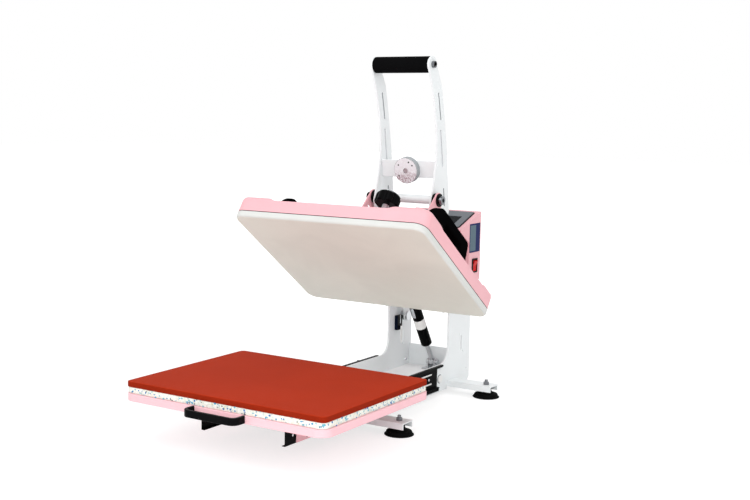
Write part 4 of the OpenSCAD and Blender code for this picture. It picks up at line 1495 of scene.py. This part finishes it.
@dataclass
class Platen:
    """Heated platen with its cover, ears, side handles and pressure screw.

    Attributes:
        lean: Angle of the open platen in degrees.
        thread_pitch: Pitch of the pressure screw in millimetres.
        thread_depth: Depth of its thread in millimetres.
        thread_sides: Points around the thread.
        handle_more: How much taller the side handles are drawn, in millimetres.
        flat: How squarely a face of the heating plate looks down to count as its flat side.
    """

    lean: float = 35.4
    thread_pitch: float = 2.0
    thread_depth: float = 0.7
    thread_sides: int = 32
    handle_more: float = 9.0
    flat: float = 0.9

    @property
    def up(self) -> Vector:
        """Direction out of the top of the open platen."""
        lean = math.radians(self.lean)
        return Vector((0, math.sin(lean), math.cos(lean)))

    def taller(self, part: Object) -> None:
        """Draw the upper half of a side handle further out.

        Args:
            part: The handle.
        """
        heights = [vertex.co.dot(self.up) for vertex in part.data.vertices]
        middle = (min(heights) + max(heights)) / 2
        for vertex, height in zip(part.data.vertices, heights):
            if height > middle:
                vertex.co += self.up * self.handle_more * MM

    def thread(self) -> None:
        """Pressure screw with the ridges of its thread."""
        points = [vertex.co for vertex in frame["nodes"]["pressure_screw"].data.vertices]
        centre = sum(points, Vector()) / len(points)
        axis, across = self.up, Vector((1, 0, 0))
        other = axis.cross(across)
        along = [(point - centre).dot(axis) for point in points]
        low, high = min(along), max(along)
        radius = max(
            (point - centre - axis * height).length for point, height in zip(points, along)
        )
        count = 2 * int((high - low) / (self.thread_pitch * MM))
        rings = []
        for k in range(count + 1):
            reach = radius - (k % 2) * self.thread_depth * MM
            middle = centre + axis * (low + (high - low) * k / count)
            angles = [2 * math.pi * i / self.thread_sides for i in range(self.thread_sides)]
            rings.append([
                middle + (across * math.cos(a) + other * math.sin(a)) * reach for a in angles
            ])
        bm = bmesh.new()
        Workshop.skin(bm, rings)
        mesh = Workshop.mesh_of("screw_thread", bm, smooth=30.0)
        part = Workshop.piece("screw_thread", mesh, STEEL)
        Workshop.settle(part, Body.KNOB, Slot.STEEL, "pressure_screw")

    def build(self) -> None:
        """Ease the platen's pieces and cut the thread."""
        plate = Workshop.eased("heating_plate", PLATE, 0.8)
        # The rim of the heating plate takes the cooler grey, painted light.
        Workshop.recoat(plate, PLATE_RIM_PAINTED_LIGHT, lambda face: face.normal.dot(self.up) > -self.flat)
        for node in ("side_handle_right", "side_handle_left"):
            self.taller(Workshop.eased(node, MATT_BLACK, 5.0, 4))
        # The pivot bolts take chrome painted dark as a reflection.
        bolts = Workshop.eased("pivot_bolts", CHROME_PAINTED_DARK, 0.8)
        Workshop.recoat(bolts, BLACK, lambda face: face.center.x < 0)
        Workshop.ease_all(
            ("platen_cover", PINK, 2.4, 3), ("ear_bracket", PINK, 0.9),
            ("swing_plate_right", WHITE, 0.7), ("swing_plate_left", WHITE, 0.7),
            ("pivot_washers", BLACK, 0.6), ("gas_clevis", STEEL, 0.5),
            ("knob_boss", STEEL, 0.6), ("pressure_knob", BLACK, 1.8, 3), ("striker", STEEL, 0.5),
        )
        self.thread()


@dataclass
class Lever:
    """Closing lever with its grip and electromagnet.

    Sizes are in millimetres and angles in degrees.

    Attributes:
        crank: Y and Z of the lever's pivot.
        dark_slots: Ends, from the pivot, and half width of the slots whose walls are painted with
            dark shade.
        pale_slots: The same of the slot whose walls are painted with paler shade.
        slot_margin: How far outside a slot its rounded edge reaches.
        spine: Height and depth of the arms' middle line, from the pivot.
        rear_more: Height, and how far the arms' rear edge is drawn back there.
        rear_from: Distance behind the middle line at which the rear edge begins.
        recess: Radius and start along X of the recess in the grip bolts.
        lean: Angle by which the pole face looks down.
        pole: Half thickness of the electromagnet and radius of its dimpled part.
        dimple: Lowest and highest depth of what counts as a dimple.
        flat: Faces of an arm whose normal has at least this much X are its flat sides.
        steep: Faces of the electromagnet that look less than this along its axis are its side.
    """

    crank: Pair = (264.94, 484.11)
    dark_slots: tuple[tuple[Pair, Pair, float], ...] = (
        ((9.0, 253.0), (23.0, 192.0), 2.2), ((46.0, 24.0), (52.0, -16.0), 2.2),
    )
    pale_slots: tuple[tuple[Pair, Pair, float], ...] = (((24.5, 164.0), (38.0, 82.0), 3.2),)
    slot_margin: float = 1.0
    spine: tuple[Pair, ...] = (
        (-16.0, 52.0), (24.0, 46.0), (82.0, 38.0), (164.0, 24.5),
        (192.0, 23.0), (253.0, 9.0), (315.0, -14.0),
    )
    rear_more: tuple[Pair, ...] = (
        (0.0, 0.0), (110.0, 4.0), (180.0, 5.0), (235.0, 8.0), (285.0, 10.0), (312.0, 0.0),
    )
    rear_from: float = 6.0
    recess: Pair = (4.4, 82.5)
    lean: float = 10.0
    pole: Pair = (8.0, 27.0)
    dimple: Pair = (0.3, 4.0)
    flat: float = 0.9
    steep: float = 0.5

    @staticmethod
    def between(stops: Sequence[Pair], height: float) -> float:
        """Value at a height between the stops around it, and zero past their ends.

        Args:
            stops: Height and value of each stop.
            height: The height.

        Returns:
            The value.
        """
        for (low, first), (high, last) in zip(stops, stops[1:]):
            if low <= height <= high:
                return first + (last - first) * (height - low) / (high - low)
        return 0.0

    def from_crank(self, place: Vector) -> Pair:
        """Depth and height of a place from the lever's pivot."""
        return place.y / MM - self.crank[0], place.z / MM - self.crank[1]

    def deepen(self, arm: Object) -> None:
        """Draw the rear edge of an arm further back, most of all below the grip.

        Args:
            arm: The arm.
        """
        for vertex in arm.data.vertices:
            depth, height = self.from_crank(vertex.co)
            if depth > self.between(self.spine, height) + self.rear_from:
                vertex.co.y += self.between(self.rear_more, height) * MM

    def in_slots(self, face: Face, slots: Sequence[tuple[Pair, Pair, float]]) -> bool:
        """Tell whether a face of an arm is a wall of one of the slots.

        Args:
            face: The face.
            slots: Ends and half width of each slot.

        Returns:
            Whether it is.
        """
        if abs(face.normal.x) >= self.flat:
            return False
        at = Vector(self.from_crank(face.center))
        for start, end, half in slots:
            off, along = at - Vector(start), Vector(end) - Vector(start)
            share = min(max(off.dot(along) / along.length_squared, 0.0), 1.0)
            if (off - along * share).length < half + self.slot_margin:
                return True
        return False

    def in_recess(self, face: Face) -> bool:
        """Tell whether a face of a grip bolt lies in its recess.

        Args:
            face: The face.

        Returns:
            Whether it does.
        """
        lo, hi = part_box("grip_bolts")
        off = (face.center - (lo + hi) / 2).yz
        radius, start = self.recess
        return off.length < radius * MM and abs(face.center.x) > start * MM

    def magnet(self) -> None:
        """Electromagnet whose dimples and screw recess are painted black as shade, and whose round
        side is painted grey as shade.
        """
        part = Workshop.eased("electromagnet", MAGNET, 0.3)
        lo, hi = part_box("electromagnet")
        lean = math.radians(self.lean)
        inward = Vector((0, math.cos(lean), math.sin(lean)))
        half, radius = (value * MM for value in self.pole)
        shallow, deep = (value * MM for value in self.dimple)
        middle = (lo + hi) / 2 - inward * half

        def dimpled(face: Face) -> bool:
            """Tell whether a face lies in a dimple or in the recess of the screw."""
            off = face.center - middle
            return shallow < off.dot(inward) < deep and off.length < radius

        def round_side(face: Face) -> bool:
            """Tell whether a face belongs to the round side.

            Args:
                face: The face.

            Returns:
                Whether it does.
            """
            off = face.center - middle
            wide = (off - inward * off.dot(inward)).length
            return abs(face.normal.dot(inward)) < self.steep and wide > radius

        # Painted shade: black in the dimples and the screw recess, grey on the round side.
        Workshop.recoat(part, BLACK_METAL, dimpled)
        Workshop.recoat(part, SHADE_GREY, round_side)

    def build(self) -> None:
        """Ease the lever's pieces."""
        for node in ("lever_arm_right", "lever_arm_left"):
            arm = Workshop.eased(node, WHITE, 0.6)
            # The slot walls are painted grey as shade: darker in the narrow slots, paler in the
            # wide one.
            Workshop.recoat(arm, SHADE_GREY, lambda face: self.in_slots(face, self.dark_slots))
            Workshop.recoat(arm, PALE_SHADE_GREY, lambda face: self.in_slots(face, self.pale_slots))
            self.deepen(arm)
        # The grip bolts take chrome painted dark as a reflection.
        bolts = Workshop.eased("grip_bolts", CHROME_PAINTED_DARK, 0.6)
        # The recesses of the grip bolts are painted black as shade.
        Workshop.recoat(bolts, BLACK_METAL, self.in_recess)
        self.magnet()
        Workshop.ease_all(
            ("magnet_plate", WHITE, 0.8), ("cross_tube", WHITE, 0.6), ("grip", GRIP, 2.5, 4),
            ("magnet_screw", STEEL, 0.3), ("toggle_pins", STEEL, 0.4), ("toggle_links", WHITE, 0.7),
        )


@dataclass
class GasSpring:
    """Gas spring with a bare wrapped band and a steel tab on its cylinder.

    Sizes are in millimetres and angles in degrees.

    Attributes:
        foot: Y and Z of the lower pivot.
        head: Y and Z of the upper pivot.
        radius: Radius of the cylinder.
        band: Lowest and highest distance of the band from the lower pivot.
        thick: Thickness of the band.
        wrap: First and last angle of the band.
        tab: Lowest and highest distance of the tab from the lower pivot.
        tab_form: Width, thickness and corner radius of the tab.
        tab_sink: How deep the tab sits in the cylinder.
    """

    foot: Pair = (424.5, 53.0)
    head: Pair = (255.6, 318.4)
    radius: float = 14.0
    band: Pair = (120.0, 147.0)
    thick: float = 0.25
    wrap: Pair = (-250.0, 20.0)
    tab: Pair = (160.0, 190.0)
    tab_form: Triple = (8.0, 2.4, 2.0)
    tab_sink: float = 0.4

    def line(self) -> tuple[Vector, Vector]:
        """Lower pivot in metres and direction of the spring."""
        foot, head = (Vector((0, *end)) * MM for end in (self.foot, self.head))
        return foot, (head - foot).normalized()

    def label(self) -> None:
        """Bare white band around the cylinder."""
        foot, axis = self.line()
        across = Vector((1, 0, 0))
        other = axis.cross(across)
        steps = 48
        outer = self.radius + self.thick
        low, high = self.band
        rings = []
        for i in range(steps + 1):
            angle = math.radians(self.wrap[0] + (self.wrap[1] - self.wrap[0]) * i / steps)
            out = across * math.cos(angle) + other * math.sin(angle)
            rings.append([
                foot + (axis * along + out * reach) * MM
                for reach, along in (
                    (self.radius, low), (outer, low), (outer, high), (self.radius, high),
                )
            ])
        bm = bmesh.new()
        Workshop.skin(bm, rings)
        mesh = Workshop.mesh_of("cylinder_band", bm)
        part = Workshop.piece("cylinder_band", mesh, WHITE_PLASTIC)
        Workshop.settle(part, Body.GAS_UPPER, Slot.WHITE_PLASTIC)

    def strap(self) -> None:
        """Bright steel tab along the front of the cylinder's upper end."""
        foot, axis = self.line()
        across = Vector((1, 0, 0))
        out = across.cross(axis)
        turn = Matrix((across, axis, out)).transposed().to_4x4()
        wide, thick, corner = self.tab_form
        low, high = self.tab
        place = foot + (axis * (low + high) / 2 + out * (self.radius - self.tab_sink)) * MM
        spot = Matrix.Translation(place) @ turn
        size = (wide, high - low, thick)
        Workshop.plates(
            "cylinder_tab", [spot], size, corner, CHROME, Slot.STEEL, Body.GAS_UPPER
        )

    def build(self) -> None:
        """Ease the cylinder, wrap its band and add its tab."""
        Workshop.eased("gas_cylinder", BLACK_METAL, 0.8, 3)
        self.label()
        self.strap()


@dataclass
class Studio:
    """Pale floor, soft lamps, white surround and the camera.

    Attributes:
        place: Place of the camera in metres.
        yaw: Turn of the camera in degrees.
        pitch: How far it looks down, in degrees.
        roll: Its roll in degrees.
        lens: Its focal length in millimetres.
        sensor: Width of its sensor in millimetres.
        shift: Its shift along X.
        ambient: Strength of the surround's light.
        glow: Own light of the floor near the press, as the camera sees it.
        fade: Distances in metres over which that light rises to white.
        shade: Grey of the floor for light and for the camera.
        floor_half: Half the floor's size in metres.
        floor_drop: How far the floor lies below the feet, in metres.
        goal: Point that the lamps look at, in metres.
        lamps: Place in metres, size in metres and power in watts of each lamp.
    """

    place: Triple = (1.44499, -2.26316, 0.70246)
    yaw: float = 34.18
    pitch: float = 6.83
    roll: float = 0.717
    lens: float = 57.459
    sensor: float = 36.0
    shift: float = 0.084
    ambient: float = 0.75
    glow: float = 0.7
    fade: Pair = (0.75, 1.5)
    shade: Pair = (0.86, 0.4)
    floor_half: float = 14.0
    floor_drop: float = 0.2 * MM
    goal: Triple = (0.0, 0.0, 0.3)
    lamps: tuple[tuple[Triple, float, float], ...] = (
        ((-1.4, -1.8, 2.6), 2.2, 20.5),
        ((2.2, -1.0, 1.9), 1.6, 11.5),
        ((0.3, 1.9, 2.4), 1.8, 13.0),
        ((0.9, -2.0, 0.7), 1.4, 18.0),
    )

    def camera(self) -> None:
        """Camera fitted to the photograph."""
        yaw, pitch, roll = (math.radians(v) for v in (self.yaw, self.pitch, self.roll))
        ahead = Vector((
            -math.sin(yaw) * math.cos(pitch), math.cos(yaw) * math.cos(pitch), -math.sin(pitch),
        ))
        right = Vector((math.cos(yaw), math.sin(yaw), 0))
        above = right.cross(ahead)
        side = right * math.cos(roll) + above * math.sin(roll)
        top = above * math.cos(roll) - right * math.sin(roll)
        data = bpy.data.cameras.new("photo_camera")
        data.lens = self.lens
        data.sensor_width = self.sensor
        data.shift_x = self.shift
        eye = put("photo_camera", data)
        turn = Matrix((side, top, -ahead)).transposed().to_4x4()
        eye.matrix_world = Matrix.Translation(self.place) @ turn
        bpy.context.scene.camera = eye

    def lights(self) -> None:
        """Large soft lamps that look at the middle of the press."""
        for k, (place, size, power) in enumerate(self.lamps):
            data = bpy.data.lights.new(f"softbox_{k + 1}", "AREA")
            data.shape = "DISK"
            data.size = size
            data.energy = power
            lamp = put(data.name, data)
            lamp.location = place
            ahead = Vector(self.goal) - Vector(place)
            lamp.rotation_euler = ahead.to_track_quat("-Z", "Y").to_euler()

    @staticmethod
    def seen(graph: Graph) -> Socket:
        """Mask of the rays that show the surround as plain white.

        Args:
            graph: Graph of the world or the floor.

        Returns:
            The mask.
        """
        path = graph.add("ShaderNodeLightPath").outputs
        mask = graph.math("MAXIMUM", path["Is Camera Ray"], path["Is Glossy Ray"])
        return graph.math("MAXIMUM", mask, path["Is Transmission Ray"])

    def surround(self) -> None:
        """White world that lights softly."""
        world = bpy.data.worlds.new("white_surround")
        graph = Graph.of(world)
        white = (1.0, 1.0, 1.0, 1.0)
        soft, plain = (
            graph.add("ShaderNodeBackground", {"Color": white, "Strength": strength})
            for strength in (self.ambient, 1.0)
        )
        mix = graph.add("ShaderNodeMixShader", {
            "Fac": self.seen(graph), 1: soft.outputs["Background"], 2: plain.outputs["Background"],
        })
        graph.add("ShaderNodeOutputWorld", {"Surface": mix.outputs["Shader"]})
        bpy.context.scene.world = world

    def floor(self) -> None:
        """Pale floor that keeps the shadow of the press."""
        bm = bmesh.new()
        bmesh.ops.create_grid(bm, x_segments=1, y_segments=1, size=self.floor_half)
        bmesh.ops.translate(bm, verts=bm.verts, vec=(0, 0, -self.floor_drop))
        mesh = bpy.data.meshes.new("pale_floor")
        bm.to_mesh(mesh)
        bm.free()
        result = bpy.data.materials.new("pale_floor")
        graph = Graph.of(result)
        seen = self.seen(graph)
        matt = graph.add("ShaderNodeBsdfDiffuse", {"Color": graph.remap(seen, goal=self.shade)})
        place = graph.add("ShaderNodeTexCoord").outputs["Object"]
        reach = graph.add("ShaderNodeVectorMath", {0: place}, operation="LENGTH")
        away = graph.remap(reach.outputs["Value"], self.fade, (self.glow, 1.0), smooth=True)
        glow = graph.add("ShaderNodeEmission", {"Strength": graph.math("MULTIPLY", away, seen)})
        both = graph.add("ShaderNodeAddShader", {
            0: matt.outputs["BSDF"], 1: glow.outputs["Emission"],
        })
        graph.add("ShaderNodeOutputMaterial", {"Surface": both.outputs["Shader"]})
        mesh.materials.append(result)
        ground = put("pale_floor", mesh)

    def build(self) -> None:
        """Set up camera, lamps, surround and floor."""
        bpy.context.scene.view_settings.view_transform = "Standard"
        self.camera()
        self.lights()
        self.surround()
        self.floor()


def dress_solids() -> None:
    """Give every solid its finish by the record's slot."""
    for row in frame["record"]["subparts"]:
        node = frame["nodes"][row["node"]]
        node.data.materials.clear()
        node.data.materials.append(FINISHES[Slot(row["material_slot"])].material())
        LOG.info("%s dressed in %s", row["node"], row["material_slot"])


def main() -> None:
    """Build the studio, dress the solids and add every sub-assembly."""
    logging.basicConfig(level=logging.INFO, format="%(message)s")
    dress_solids()
    for part in (
        Studio(), Table(), Slides(), Base(), ControlBox(), Platen(), Lever(), GasSpring(),
    ):
        part.build()


if __name__ == "__main__":
    main()
